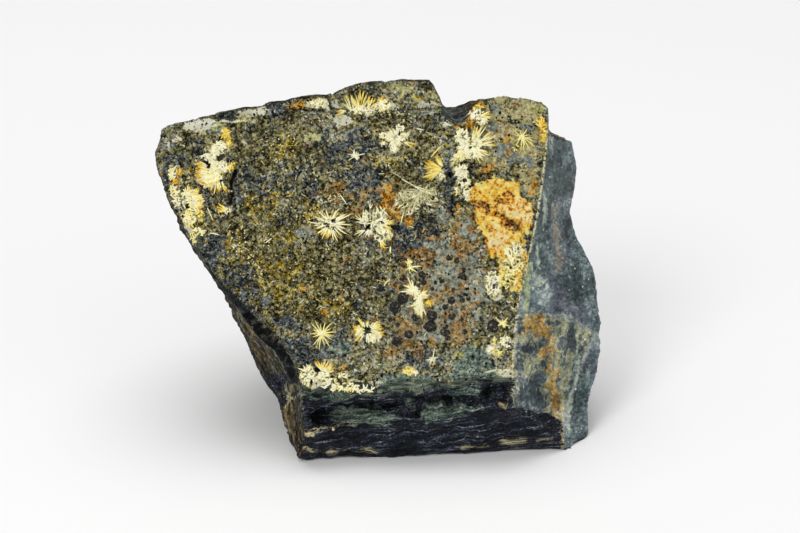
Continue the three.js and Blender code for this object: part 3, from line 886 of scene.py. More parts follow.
# Real stains of the smooth side, and its patches of painted shade and painted light.
SIDE_STAINS_AND_PAINTED_LIGHT = {
    "shade": [(8, 17, 19), (38, 52, 53), (66, 82, 83), (100, 116, 114), (186, 198, 191)],
    "light": [(56, 72, 70), (108, 122, 114), (146, 159, 146), (182, 190, 174), (232, 236, 220)],
    "brown_streak": [(52, 50, 42), (98, 94, 82), (132, 126, 110), (160, 154, 136), (214, 208, 190)],
    "orange": PANEL_ORANGE,
    "blot": SIDE_BLOT,
    "lens": [(66, 80, 56), (118, 132, 98), (156, 168, 128), (188, 196, 154), (232, 234, 204)],
}


def smooth_side():
    """The smooth grey right side, with its stained panel below the ridge."""
    s = Shader("smooth_side")
    at = s.shifted(s.place(), 1.2, 0.6)
    broad = s.cloud(s.place((0.8, 0.6, 0.5)), 3.2, 5)
    streaks = s.cloud(s.place((1, 0.3, 0.4)), 0.7, 4, 0.7)
    fine = s.cloud(s.place((1, 1.1, 0.25)), 0.7, 5, 0.8)
    grain = s.grains(s.place((1, 1, 0.25)), 0.4)
    value = s.sum(0.45, s.swing(broad, 1.5), s.swing(streaks, 0.4), s.swing(fine, 1.5), s.swing(grain, 0.3))
    purple = s.step(s.sum(s.cloud(s.place(offset=5), 6), s.swing(fine, 0.3)), 0.5, 0.6)
    colour = s.coats(s.palette(value, SIDE_GREY), [
        (purple, s.palette(value, SIDE_PURPLE)),
        (s.inside("panel", 0.35, 0.65, s.swing(fine, 0.5)), panel(s, at, s.sum(value, 0.07))),
        # real stains, with painted shade and painted light
        *stains(s, value, SIDE_STAINS_AND_PAINTED_LIGHT),
        # painted highlights along the edges, partly pale seams
        (s.times(s.attribute("pale_line_and_highlight"), s.step(fine, 0.35, 0.6)), (190, 194, 182)),
        # painted glints on the smooth side
        (s.times(painted_glints(s, at), 0.9), (226, 232, 228)),
    ])
    return s.finish(colour, s.math("MULTIPLY_ADD", fine, 0.3, 0.35), 0.3, value, 0.16)


def painted_glints(s, at):
    """A few small round painted glints, each of its own size."""
    colour, distance = s.cells(at, 1.3)
    size = s.math("MULTIPLY_ADD", s.channel(colour), 0.6, -0.39)
    return s.step(s.math("SUBTRACT", size, distance), -0.02, 0.03)


def panel(s, at, value):
    """The panel below the ridge: grey-green and slate, smeared downwards to the right, with orange stains."""
    smears = s.cloud(s.stretched(s.turned(at, 0.5), (1, 0.4, 1)), 1.5, 5, 0.7)
    stained = s.math("MULTIPLY_ADD", s.attribute("stain"), 0.14, smears)
    return s.coats(s.palette(value, SIDE_BLOT), [
        (s.step(smears, 0.42, 0.5), s.palette(value, PANEL_GREY)),
        (s.step(stained, 0.58, 0.68), s.palette(value, PANEL_ORANGE)),
    ])


BLACKISH = [(1, 2, 5), (8, 10, 16), (27, 30, 40), (68, 74, 86), (170, 174, 180)]
OLIVE_DARK = [(8, 16, 18), (42, 55, 54), (84, 98, 90), (130, 142, 124), (206, 210, 182)]
OCHRE_DARK = [(20, 14, 6), (74, 62, 38), (136, 122, 84), (190, 178, 134), (240, 232, 196)]
# The near black of painted shade: in the groove of the left side, the hollows of the lower end, and over the
# dark stone in the holes of the lace.
SHADE_BLACK = [(0, 0, 2), (3, 6, 8), (12, 17, 20), (34, 41, 44), (96, 104, 102)]


def lower_end():
    """The broken lower end: nearly black, and splintered along its layers."""
    s = Shader("lower_end")
    level = s.turned(s.place(), -0.08)
    leaves = s.cloud(s.stretched(level, (0.04, 0.6, 0.9)), 0.8, 5, 0.7)
    fine = s.cloud(s.stretched(level, (0.025, 1, 0.7)), 0.24, 3, 0.7)
    value = s.sum(
        0.395, s.swing(leaves, 0.9), s.swing(fine, 1.8), s.swing(s.grains(s.place(), 0.22), 0.3),
        s.swing(s.cloud(s.place(), 5, 3), 0.6))
    colour = s.coats(s.palette(value, BLACKISH), [
        # the hollows painted near black: painted shade
        *stains(s, value, {"olive": OLIVE_DARK, "hollow_shade": SHADE_BLACK}),
        *stains(s, s.sum(value, 0.2), {"ochre": OCHRE_DARK}),
        # painted highlights along the edges, partly pale seams
        (s.times(s.attribute("pale_line_and_highlight"), s.step(s.sum(value, fine), 0.82, 1.08)), (206, 194, 152)),
    ])
    return s.finish(colour, s.math("MULTIPLY_ADD", fine, 0.3, 0.35), DULL, value, 0.14)


WALL_GREY = [(1, 3, 5), (22, 24, 24), (60, 60, 53), (104, 103, 90), (190, 186, 162)]
WALL_BROWN = [(8, 6, 3), (46, 36, 20), (92, 77, 48), (140, 122, 84), (204, 188, 146)]
WALL_OCHRE = [(10, 8, 4), (54, 46, 30), (100, 88, 62), (146, 132, 98), (212, 202, 164)]


def weathered():
    """The narrow left side and the back: thin layers, weathered olive grey and brown."""
    s = Shader("weathered")
    edge_on = s.inside("edge_on", 0.15, 0.55)
    leaves = s.cloud(s.place((0.12, 0.12, 1.2)), 0.9, 6, 0.75)
    fine = s.cloud(s.place((0.4, 0.4, 1.8)), 0.6, 5, 0.8)
    grain = s.grains(s.place(), 0.45)
    blotches = s.swing(s.cloud(s.place(offset=71), 3, 8, 0.7), 2.2)
    value = s.sum(
        0.45, s.times(s.sum(s.swing(leaves, 1.8), s.swing(fine, 1.7)), edge_on),
        s.times(blotches, s.math("SUBTRACT", 1, edge_on)), s.swing(grain, 0.24),
        s.swing(s.cloud(s.place(offset=9), 8), 0.8))
    brown = s.step(s.sum(s.cloud(s.place((0.5, 0.5, 1)), 5, 5, 0.65), s.swing(grain, 0.1)), 0.5, 0.62)
    colour = s.coats(s.palette(value, WALL_GREY), [
        (brown, s.palette(value, WALL_BROWN)),
        # the groove in the left side painted near black: painted shadow
        *stains(s, value, {"notch": SLATE, "slit_shadow": SHADE_BLACK, "ochre": WALL_OCHRE}),
    ])
    return s.finish(colour, s.math("MULTIPLY_ADD", fine, 0.3, 0.5), DULL, value, 0.3)


def nodule_material():
    """The black nodules: coal black with brownish grains."""
    s = Shader("black_nodules")
    value = s.sum(0.3, s.swing(s.grains(s.place(), 0.22), 0.9), s.swing(s.cloud(s.place(), 0.5, 4, 0.7), 1.5))
    colour = s.palette(value, [(2, 2, 3), (14, 14, 15), (32, 31, 29), (70, 65, 52), (160, 150, 120)])
    return s.finish(colour, 0.45, 0.3, value, 0.12)


# The colours of the needles: ivory, gold and brown for tints of 0, 0.4 and 0.7, and a dull pale green for
# the lowest tint.
LOWEST_TINT = -0.3
TINT_RANGE = 1.3
TINTS = [
    (0.0, (172, 166, 106)), (0.16, (232, 226, 172)), (0.25, (255, 254, 236)), (0.42, (255, 244, 152)),
    (0.58, (246, 212, 66)), (0.74, (214, 158, 20)), (0.87, (168, 98, 10)), (1.0, (84, 46, 8)),
]


def needle_material(name, roughness):
    """Needles of the colours that their tints say."""
    s = Shader(name)
    wander = s.swing(s.cloud(s.place(), 0.45, 3), 0.4)
    tint = s.sum(s.attribute("tint"), wander)
    return s.finish(s.ramp(s.math("DIVIDE", s.sum(tint, -LOWEST_TINT), TINT_RANGE), TINTS), roughness)


# ---------------------------------------------------------------- needle sprays

PROBE_HEIGHT = 6.0  # the stone's surface is looked for from this w down to the same depth
LOWEST_RIM = -1.6  # needles that reach past a rim of the face stand no lower than this w
NEEDLE_RADIUS = 0.11
SIDES = 4  # of a needle
PROFILE = [(0.0, 0.7), (0.3, 1.0), (0.75, 0.75), (1.0, 0.12)]  # share of the length, share of the radius
TUFT = 6.5  # degrees of a fan for each tuft of needles
TUFT_SPREAD = 2.0  # degrees by which the needles of a tuft stray from its middle
TIP_GROWTH = 2.2  # how late along a needle the tint of its tip shows

# A spray is made of fans, single rays and lace. Places are in millimetres from the middle of the spray's
# solid, and angles in degrees anticlockwise from the right. A tint is 0 for ivory, 0.4 for gold and 0.7
# for brown. Fans and rays leave a hole about their root, as a share of their length; lace has round holes.
Fan = namedtuple("Fan", "root start sweep length count tints radius hole", defaults=(NEEDLE_RADIUS, 0.1))
Rays = namedtuple("Rays", "root needles tints radius hole", defaults=(0.13, 0.0))
Lace = namedtuple("Lace", "middle reach count tint holes", defaults=((),))

UPPER_LEFT_HOLES = (
    ((-1.4, 1.7), 0.62), ((-0.8, 1.2), 0.4), ((1.2, 2.6), 0.5), ((1.8, 3.1), 0.4), ((-2.4, 3.8), 0.7),
)

SPRAYS = {
    "spray_upper_left": [
        Fan((0.8, 0.5), 152, 78, 4.9, 110, (0.12, 0.84), 0.08, 0.5),
        Fan((0.8, 0.5), 150, 150, 4.4, 150, (0.1, 0.62), 0.08, 0.5),
        Lace((-0.5, -0.8), (2.2, 1.7), 230, 0.08, UPPER_LEFT_HOLES),
        Lace((-1.2, 2.9), (1.1, 0.6), 30, 0, UPPER_LEFT_HOLES),
        Lace((0.3, 2.9), (0.9, 2.2), 80, 0, UPPER_LEFT_HOLES),
        Lace((1.3, 4.6), (1.3, 1.3), 70, -0.02, UPPER_LEFT_HOLES),
        Lace((1.4, 1.1), (1.8, 1), 80, 0.02, UPPER_LEFT_HOLES),
        Lace((3.5, 1.2), (0.6, 1.1), 14, 0.38),
    ],
    "spray_left_edge": [
        Fan((-0.5, 0.9), -45, 100, 3.6, 60, (0.08, 0.8), 0.11, 0.4),
        Fan((-0.5, 0.9), -50, 160, 3.3, 60, (0, 0.6), 0.11, 0.3),
        Lace((0.6, 0.4), (1.9, 1.5), 110, 0.04, (((-0.4, 0), 0.6),)),
        Lace((0.6, 1), (1.2, 1.4), 50, 0.1),
        Lace((-0.3, 1.8), (1.5, 1), 44, 0.03, (((-0.4, 0), 0.7),)),
        Lace((-2.6, 0.6), (0.8, 0.9), 18, 0.02),
        Lace((-0.2, -2.5), (1.2, 1.5), 70, 0.12),
        Lace((1.5, -1.9), (0.8, 1.2), 26, 0.25),
        Lace((1.6, -4.8), (1.1, 0.8), 24, 0.1),
        Lace((0.6, -6), (0.6, 1.2), 18, 0.16),
    ],
    "spray_left_rim": [
        Lace((-0.8, 0), (0.8, 1.2), 30, 0.06),
        Lace((0.3, 0.2), (0.6, 0.8), 16, 0.48),
        Lace((-0.4, -1.6), (0.7, 0.9), 20, 0.52),
        Lace((-0.5, -3.2), (0.8, 1.4), 36, 0.1),
        Rays((-0.9, 0.2), [(60, 1.6)], (0.05, 0.2)),
    ],
    "spray_left_small": [
        Fan((0.8, -0.4), 130, 65, 2.6, 20, (0.15, 0.7)),
        Fan((0.8, -0.4), 0, 360, 0.9, 20, (0.05, 0.12)),
    ],
    "spray_streak": [
        Fan((-0.2, 0.6), 0, 360, 1.4, 20, (0.3, 0.12)),
        Lace((-0.2, 0.6), (0.6, 1.1), 30, 0.4),
        Lace((0.4, -1.3), (0.5, 1.4), 24, 0.38),
    ],
    "spray_top_fan": [
        Fan((-2.4, -1.3), 65, 70, 3.8, 16, (0.1, 0.44), 0.11),
        Fan((-1, -1.1), 55, 75, 4.3, 26, (0.18, 0.5), 0.11),
        Fan((0.4, -0.8), 25, 80, 3.2, 18, (0.2, 0.66), 0.11),
        Fan((-3.2, -1.2), 165, 40, 2.6, 8, (0.25, 0.6), 0.12),
        Lace((-0.5, -1), (2.2, 0.8), 70, 0),
        Lace((3.2, 0), (1.5, 1), 60, 0.02),
        Fan((2.9, 0.2), 45, 95, 1.9, 16, (0.25, 0.6)),
        Fan((3.2, -0.3), 210, 120, 1.9, 18, (0.05, 0.48)),
    ],
    "spray_top_rim": [Lace((0, 0), (1.7, 1), 50, 0), Fan((0, -0.2), 20, 140, 1.5, 14, (0, 0.1))],
    "spray_small_star": [
        Fan((0, 0.1), 0, 360, 1.1, 24, (0, 0.06)),
        Rays((0, 0.1), [(95, 1.4), (12, 1.9), (165, 1.4), (215, 1.6), (300, 1)], (0.05, 0.18), 0.09),
    ],
    "spray_top_mid": [
        Lace((-0.1, 0.2), (1.6, 1.4), 110, 0, (((0.5, 0.9), 0.3), ((-0.7, 0.4), 0.3), ((0.9, -0.5), 0.25))),
        Lace((0.5, 1.8), (0.9, 0.8), 26, 0),
        Lace((-1.9, 0.6), (1.1, 0.5), 26, 0.02),
        Lace((-2.2, -0.8), (0.6, 0.3), 9, 0.06),
        Lace((-0.3, -1.8), (0.7, 0.7), 24, 0),
        Lace((1.8, 0.6), (0.7, 0.5), 16, 0.02),
        Fan((-0.3, 0.2), 0, 360, 2.5, 24, (0, 0.2), 0.1),
        Fan((1.2, -0.5), -46, 40, 2.9, 12, (0.24, 0.6), 0.08),
    ],
    "spray_gold_fan": [
        Fan((1.5, 0.3), 150, 75, 4.5, 50, (0.28, 0.52), 0.09),
        Fan((1.5, 0.5), 105, 32, 3.1, 18, (0.26, 0.52), 0.09),
        Lace((1.2, -0.6), (0.7, 0.9), 14, 0.05),
        Rays((-0.7, 2.4), [(47, 2.9)], (0.35, 0.25)),
    ],
    "spray_upper_right": [
        Fan((0.3, -0.5), -10, 80, 5.3, 34, (0.04, 0.48), 0.085),
        Fan((0.2, 0.2), 40, 55, 3.8, 20, (0.1, 0.55), 0.085),
        Fan((0.2, -0.8), -72, 62, 3.9, 36, (0, 0.42), 0.09),
        Lace((-1.5, 1.1), (1.3, 1.6), 100, 0, (((-1.2, 1.6), 0.28), ((-0.1, -0.7), 0.3))),
        Lace((-1, -0.9), (1.4, 1), 80, 0, (((-0.1, -0.7), 0.3),)),
        Lace((0.2, -1.8), (1.6, 0.9), 70, 0, (((-0.1, -0.7), 0.3),)),
        Lace((0.9, 0), (1, 1), 40, 0.02, (((-0.1, -0.7), 0.3),)),
        Lace((-2.2, -2.5), (1.1, 0.9), 36, 0.12),
        Fan((-2.2, -2.7), 190, 60, 2.4, 9, (0.08, 0.15), 0.08),
    ],
    "spray_notch": [
        Lace((0, 0), (1.4, 1), 50, 0),
        Lace((1.1, -1.3), (0.9, 0.7), 26, 0),
        Fan((0.6, -0.3), -35, 60, 2.6, 12, (0.15, 0.46)),
        Lace((0.3, 1.4), (1, 0.6), 16, 0.4),
    ],
    "spray_thin_star": [
        Rays((-0.1, 0.4), [
            (141, 2.4), (110, 1.5), (80, 1.4), (58, 1.9), (20, 1.2), (-4, 2), (-22, 2.4), (-41, 3.4),
            (-60, 2.9), (-72, 2), (-84, 3.3), (-96, 2.8), (-121, 2.3), (-150, 1.4), (162, 1.7)],
            (0.2, 0.32), 0.1),
        Lace((-0.2, 0.3), (0.5, 0.4), 10, 0.18),
        Lace((-1.2, -1.5), (0.6, 0.6), 10, 0.22, (((-1.2, -1.5), 0.25),)),
    ],
    "spray_corner": [
        Lace((0.5, -1.1), (0.7, 2.2), 44, 0.4),
        Lace((0, 0.9), (0.8, 0.8), 16, 0.36),
        Rays((0.3, -0.6), [(140, 1.9), (125, 2.1), (155, 1.5), (110, 1.7), (95, 2.2)], (0.25, 0.36), 0.1),
    ],
    "spray_upright_patch": [
        Lace((-0.3, 1.4), (1.2, 1.2), 70, 0),
        Lace((0.2, -0.4), (1.1, 1.3), 50, 0, (((0.3, -0.2), 0.35),)),
        Lace((0.8, -2.4), (0.6, 1.4), 26, 0.04),
        Lace((-1.3, -2.2), (0.6, 0.7), 9, 0.1),
    ],
    "spray_olive": [
        Lace((-1.6, -0.8), (2.3, 2.2), 80, -0.16,
             (((-1.6, 0.6), 0.3), ((-0.4, -1.2), 0.3), ((-2.6, -0.8), 0.3))),
        Lace((2.2, 0), (1.7, 2.2), 44, -0.18, (((1.6, -1), 0.4), ((3, 0.2), 0.35))),
        Fan((0.8, 1.6), 180, 85, 4.8, 26, (-0.16, 0.02), 0.07),
        Fan((0.8, 1.6), -85, 95, 3.9, 26, (-0.18, 0.02), 0.07),
        Rays((-4.6, 4.9), [(-30, 2.6)], (-0.15, -0.1), 0.09),
        Rays((-2.6, 3.6), [(-30, 3)], (-0.1, -0.05), 0.11),
        Rays((-0.3, 2.2), [(-19, 3.2), (-32, 2.6)], (-0.05, -0.12), 0.11),
    ],
    "spray_centre_left": [
        Fan((-0.1, 0.1), 0, 360, 3.2, 40, (0.08, 0.5), 0.09, 0.38),
        Fan((-0.1, 0.1), 195, 75, 3.3, 22, (0.25, 0.66), 0.12, 0.32),
        Rays((-0.1, 0.1), [
            (174, 4.2), (157, 3.5), (134, 3.3), (108, 2.9), (68, 2.6), (60, 3.2), (31, 3.5), (25, 4.2),
            (8, 2.8), (-5, 3.9), (-20, 3), (-32, 3.7), (-50, 2.9), (-68, 3.6), (-80, 3.2), (-103, 2.9),
            (-118, 3.2), (-143, 3.1), (-160, 2.8)], (0.04, 0.34), 0.13, 0.34),
        Lace((-0.1, 0.1), (1.6, 1.4), 90, 0.04,
             (((-0.8, -0.2), 0.5), ((0.4, 0.7), 0.4), ((0.6, -0.9), 0.45))),
    ],
    "spray_centre_right": [
        Rays((-2.4, 1.4), [(142, 2), (160, 1.5), (120, 1.6), (87, 2.3), (185, 1.4)], (0.05, 0.34), 0.1),
        Lace((-0.8, 0.7), (1.3, 1.4), 26, -0.06,
             (((-1.1, 1.8), 0.4), ((-1.5, 0.9), 0.4), ((-1.6, 0.1), 0.3))),
        Fan((-0.9, 0.8), 0, 360, 3.1, 28, (-0.06, 0.2), 0.07, 0.2),
        Lace((-1.7, 2), (0.7, 1.3), 34, 0),
        Rays((-2, -0.2), [(203, 2.2), (220, 1.7), (188, 1.6)], (0.02, 0.3)),
        Fan((-1.2, 0), 225, 85, 1.7, 24, (0, 0.08)),
        Rays((-1.1, 3.7), [(100, 1.2), (82, 1.2), (60, 1)], (0.1, 0.15), 0.09),
        Lace((0.7, 1.8), (1.4, 2.1), 96, -0.06, (((0.4, 2.4), 0.25), ((1, 1.2), 0.25), ((0.2, 0.6), 0.2))),
        Fan((1.3, 1), -60, 130, 2.4, 32, (0.24, 0.56), 0.1),
        Lace((1.3, -1.1), (1.6, 1.3), 64, 0.06, (((0.9, -1.2), 0.2),)),
        Fan((0.6, -1.7), -80, 44, 2.7, 16, (0.25, 0.64), 0.12),
        Rays((2.6, -3.1), [(268, 1.4), (255, 1)], (0.2, 0.26)),
    ],
    "spray_mid_star": [
        Lace((-0.2, 0.6), (0.5, 0.6), 12, 0.14),
        Rays((0, -0.2), [(5, 2.2), (-35, 1.7), (-60, 0.9), (215, 1), (-100, 0.9), (100, 1.4)],
             (0.15, 0.34), 0.15),
    ],
    "spray_mid_long": [
        Lace((-0.6, 1.3), (0.9, 0.8), 40, 0.04),
        Lace((0.2, -0.1), (0.7, 1.5), 40, 0.04),
        Fan((0.3, -0.3), 250, 50, 3.7, 64, (0.04, 0.3), 0.1),
        Lace((0.4, -1.6), (0.7, 1.4), 60, 0.05),
        Fan((-0.6, 1.5), 90, 130, 2.4, 22, (0.04, 0.35), 0.09),
        Fan((0.2, 0.4), -30, 80, 2.3, 20, (0.04, 0.4), 0.1),
        Rays((-0.6, 1.5), [(114, 2.9), (104, 2), (187, 2.7), (157, 2), (172, 1.6)], (0.04, 0.22), 0.15),
        Fan((0.5, 0), 5, 65, 2.1, 12, (0.06, 0.25)),
        Lace((2.1, -0.9), (0.7, 0.5), 16, 0.34),
        Rays((0, -0.8), [(215, 1.6), (200, 2.2), (232, 1.4)], (0.1, 0.25), 0.09),
    ],
    "spray_right_edge": [
        Lace((-2.1, -2.2), (1.5, 2.3), 80, 0, (((-1.9, -2.6), 0.35),)),
        Lace((1.5, 3.6), (1.7, 1.6), 60, 0.03, (((1, 3.2), 0.25),)),
        Lace((1.4, 1.1), (1.9, 1.8), 80, 0.14, (((1, 0.6), 0.3), ((2.2, 1.6), 0.25))),
        Lace((0.7, -1.4), (1.5, 1.6), 50, 0.18, (((0.6, -1.8), 0.3),)),
        Fan((1.2, 2.6), 30, 130, 2.2, 16, (0.05, 0.25)),
        Fan((0.2, 0), 160, 90, 1.8, 12, (0.25, 0.45)),
    ],
    "spray_clean_star": [
        Fan((0, 0), 0, 360, 1.7, 20, (0.25, 0.45), 0.09),
        Rays((0, 0), [
            (134, 2.9), (118, 2.7), (98, 1.8), (75, 2.2), (47, 2.9), (28, 1.9), (6, 2.5), (-9, 2.3),
            (-21, 2.1), (-34, 2.2), (-60, 3), (-80, 2.5), (-98, 3.2), (-113, 2.4), (-129, 2.8), (180, 2.2),
            (200, 1.9), (160, 2)], (0.15, 0.38), 0.12),
        Lace((0, 0), (0.5, 0.4), 10, 0.06),
    ],
    "spray_dark_eye": [
        Fan((-0.3, 0.2), 160, 75, 3.6, 34, (0.16, 0.62), 0.11, 0.26),
        Fan((-0.3, 0.2), 112, 30, 3.2, 12, (0.12, 0.55), 0.1, 0.28),
        Fan((-0.3, 0.2), 70, 22, 2.6, 9, (0.1, 0.4), 0.1, 0.28),
        Fan((-0.3, 0.2), -22, 64, 3.7, 36, (0.06, 0.55), 0.11, 0.24),
        Fan((-0.3, 0.2), 0, 360, 2.3, 26, (0.05, 0.35), 0.09, 0.32),
        Fan((-0.3, 0.2), 262, 50, 3.1, 26, (0, 0.15), 0.11, 0.26),
        Lace((1, -1.1), (1.1, 0.9), 44, 0.03, (((-0.3, 0.3), 0.7), ((0.1, -0.5), 0.4))),
        Lace((-1.6, 0), (0.8, 1.2), 30, 0.12, (((-0.9, -0.5), 0.3),)),
    ],
    "spray_lower_left": [
        Fan((-2.6, 0.1), 5, 130, 3.2, 30, (0.22, 0.8), 0.12),
        Fan((-2.6, 0.1), 0, 140, 2.8, 50, (0.06, 0.45)),
        Fan((-5.2, 0.1), 80, 80, 2.2, 14, (0.06, 0.2)),
        Lace((-2.7, -0.3), (1.2, 0.8), 36, 0.03, (((-3.7, 0.4), 0.4),)),
        Lace((-5.2, -0.6), (1.6, 1.7), 80, 0.04,
             (((-5.4, 0.3), 0.3), ((-4.7, -1.5), 0.35), ((-3.7, 0.4), 0.5))),
        Lace((-1.4, -2.1), (1.5, 1.2), 66, 0, (((-0.9, -1.5), 0.3), ((-1.6, -2.6), 0.3))),
        Lace((1.4, -2.4), (1.7, 0.8), 48, 0.06, (((1.2, -2.2), 0.3), ((2.2, -2.7), 0.35))),
        Lace((2.6, -2.9), (1.2, 0.4), 20, 0.12),
        Lace((4.7, -2.8), (1.9, 0.7), 54, 0.05, (((5.6, -2.5), 0.35), ((4.2, -2.6), 0.3))),
        Lace((1, -0.5), (0.9, 0.4), 12, 0.08),
    ],
    "spray_tall_needle": [
        Fan((-0.3, -0.2), 0, 360, 0.9, 28, (0, 0.05)),
        Rays((-0.3, -0.2), [(80, 2.2), (185, 1.3), (25, 1.2), (240, 1.2)], (0.05, 0.1), 0.1),
    ],
    "spray_low_gold": [Lace((-0.4, -0.2), (1.1, 0.7), 34, 0.22), Lace((0.6, -0.6), (0.6, 0.4), 12, 0.04)],
    "spray_right_small": [
        Rays((-0.2, -0.3), [(140, 1.7), (52, 1.6), (-18, 1.2), (-60, 0.9), (200, 1), (96, 0.9)],
             (0.18, 0.26), 0.15),
        Lace((-0.1, -0.3), (0.6, 0.4), 12, 0.2),
    ],
    "spray_right_patch": [
        Lace((0.7, 0.5), (1, 1), 38, 0, (((0.9, 0.2), 0.25),)),
        Lace((-2, -0.9), (0.6, 0.45), 14, 0),
        Lace((-1.4, 0.8), (0.4, 0.9), 12, 0.2),
        Lace((-0.7, -1.4), (0.9, 0.5), 14, 0.24),
    ],
}

# Single needles that lie loose on the face: where each starts and ends, and its tint.
LOOSE_NEEDLES = [
    ((-34.7, 10.6), (-33.6, 8.1), 0.15), ((-10.8, 12.9), (-9.6, 11.1), 0.15), ((0.7, 9.8), (0.1, 7.5), 0.15),
    ((-24.2, 4.3), (-23, 5.2), 0.1), ((-2.9, -3.5), (-1.8, -2.1), 0.15), ((-34.2, 6), (-32.4, 5.6), 0.05),
    ((3, 24.9), (4.4, 24.6), 0.02), ((8.2, 25.8), (9.3, 25.4), 0.02), ((18.6, -18.6), (19.8, -18.8), 0.05),
]
SCATTERED_NEEDLES = 170


def aimed(angle):
    """The direction of an angle on the face."""
    return np.array([math.cos(angle), math.sin(angle)])


class Growth:
    """Collects small closed shapes, in millimetres on the face's axes, into one mesh."""

    def __init__(self, ground, origin=(0.0, 0.0)):
        self.ground = ground
        self.origin = np.array(origin)
        self.vertices = []
        self.polygons = []
        self.tints = []

    def surface_at(self, place):
        """How high the stone is at a place on the face; past its rims, the height near them."""
        above = Vector((*place, PROBE_HEIGHT))
        hit = self.ground.ray_cast(above, Vector((0, 0, -1)), 2 * PROBE_HEIGHT)[0]
        return max(hit.z, LOWEST_RIM) if hit else 0.0

    def join_rings(self, first, rings, sides):
        """The faces of a stack of rings of vertices, with both its ends closed."""
        for ring in range(rings - 1):
            for side in range(sides):
                a = first + ring * sides + side
                b = first + ring * sides + (side + 1) % sides
                self.polygons.append((a, b, b + sides, a + sides))
        last = first + (rings - 1) * sides
        self.polygons.append(tuple(first + side for side in reversed(range(sides))))
        self.polygons.append(tuple(last + side for side in range(sides)))

    def build(self, name, material):
        mesh = bpy.data.meshes.new(name)
        mesh.from_pydata(to_world(self.vertices).tolist(), [], self.polygons)
        add_attribute(mesh, "tint", self.tints)
        add_attribute(mesh, "place", self.vertices)
        mesh.materials.append(material)
        return add_object(name, mesh)


class Needles(Growth):
    """Needles, each a tapered prism."""

    def add(self, root, tip, heights, radius, tints):
        """One needle between two places on the face, at heights above the surface there."""
        root, tip = self.origin + root, self.origin + tip
        start = Vector((*root, self.surface_at(root) + heights[0]))
        line = Vector((*tip, self.surface_at(tip) + heights[1])) - start
        across = line.cross(Vector((0.3, 0.2, 1.0))).normalized()
        over = line.cross(across).normalized()
        bend = across * random.gauss(0, 0.04) * line.length
        first = len(self.vertices)
        for share, width in PROFILE:
            middle = start + line * share + bend * math.sin(math.pi * share)
            for side in range(SIDES):
                turn = 2 * math.pi * side / SIDES
                out = (across * math.cos(turn) + over * math.sin(turn)) * radius * width
                self.vertices.append((middle + out)[:])
                self.tints.append(tints[0] + (tints[1] - tints[0]) * share ** TIP_GROWTH)
        self.join_rings(first, len(PROFILE), SIDES)

    def fan(self, f):
        """Needles out of one root, gathered in tufts over the fan's sweep."""
        tufts = max(2, round(f.sweep / TUFT))
        aims = [(f.start + f.sweep * (i + random.random()) / tufts, random.uniform(0.72, 1.0))
                for i in range(tufts)]
        for _ in range(f.count):
            degrees, share = random.choice(aims)
            angle = math.radians(degrees + random.gauss(0, TUFT_SPREAD))
            direction = aimed(angle) * f.length * share
            inner = f.hole + 0.5 * random.random() ** 2
            outer = min(1.0, inner + random.uniform(0.45, 0.9)) * random.uniform(0.8, 1.0)
            lift = random.random() ** 1.3
            # Lower needles take a browner tint: painted shade beneath the upper ones.
            shift = random.gauss(0.10 - 0.2 * lift, 0.07)
            self.add(np.array(f.root) + direction * inner, np.array(f.root) + direction * outer,
                     (0.25 * lift, 0.10 + 0.7 * lift), f.radius * random.uniform(0.75, 1.3),
                     (f.tints[0] + shift, f.tints[1] + shift))

    def rays(self, r):
        """Needles out of one root, each with its own angle and length."""
        for degrees, length in r.needles:
            angle = math.radians(degrees)
            reach = aimed(angle) * length
            self.add(np.array(r.root) + r.hole * reach, np.array(r.root) + reach,
                     (0.25, random.uniform(0.2, 0.7)), r.radius * random.uniform(0.85, 1.15), r.tints)

    def lace(self, patch):
        """Short needles in all directions over an oval patch, thickest in its middle."""
        for _ in range(patch.count):
            around = random.uniform(0, 2 * math.pi)
            out = math.sqrt(random.random())
            middle = np.array(patch.middle) + out * np.array(patch.reach) * aimed(around)
            turn = around + random.gauss(0, 0.9)
            half = random.uniform(0.22, 0.5) * aimed(turn)
            ends = middle - half, middle, middle + half
            if any(math.dist(end, hole) < size for end in ends for hole, size in patch.holes):
                continue
            rise = 0.35 * (1 - out) + random.uniform(0.0, 0.25)
            # Lower needles of the lace take a browner tint: painted shade beneath the upper ones.
            tint = patch.tint + random.gauss(0.12 - 0.3 * rise, 0.07)
            self.add(middle - half, middle + half, (rise, rise + random.uniform(0.0, 0.25)),
                     NEEDLE_RADIUS * random.uniform(0.8, 1.5), (tint, tint + 0.08))


# The bounds of the open part of the decorated face, whose left edge slants in below its corner.
OPEN_LEFT, OPEN_RIGHT, OPEN_FOOT, OPEN_TOP = -40, 10, -19, 25
LEFT_CORNER = (-39.4, 12.9)
LEFT_SLANT = 0.71


def on_open_face(u, v):
    """Whether a place lies on the open part of the decorated face."""
    left_edge = max(OPEN_LEFT, LEFT_CORNER[0] + LEFT_SLANT * (LEFT_CORNER[1] - v))
    return OPEN_FOOT < v < OPEN_TOP and left_edge < u < OPEN_RIGHT


def middle_of(node):
    """The middle of a spray's CAD solid, as u and v on the face."""
    corners = corners_of(node)
    return (corners.min(0) + corners.max(0))[:2] / 2


def build_spray(node, ground, material):
    random.seed(node)
    needles = Needles(ground, middle_of(node))
    makers = {Fan: needles.fan, Rays: needles.rays, Lace: needles.lace}
    for part in SPRAYS[node]:
        makers[type(part)](part)
    return needles.build(node.replace("spray", "needles"), material)


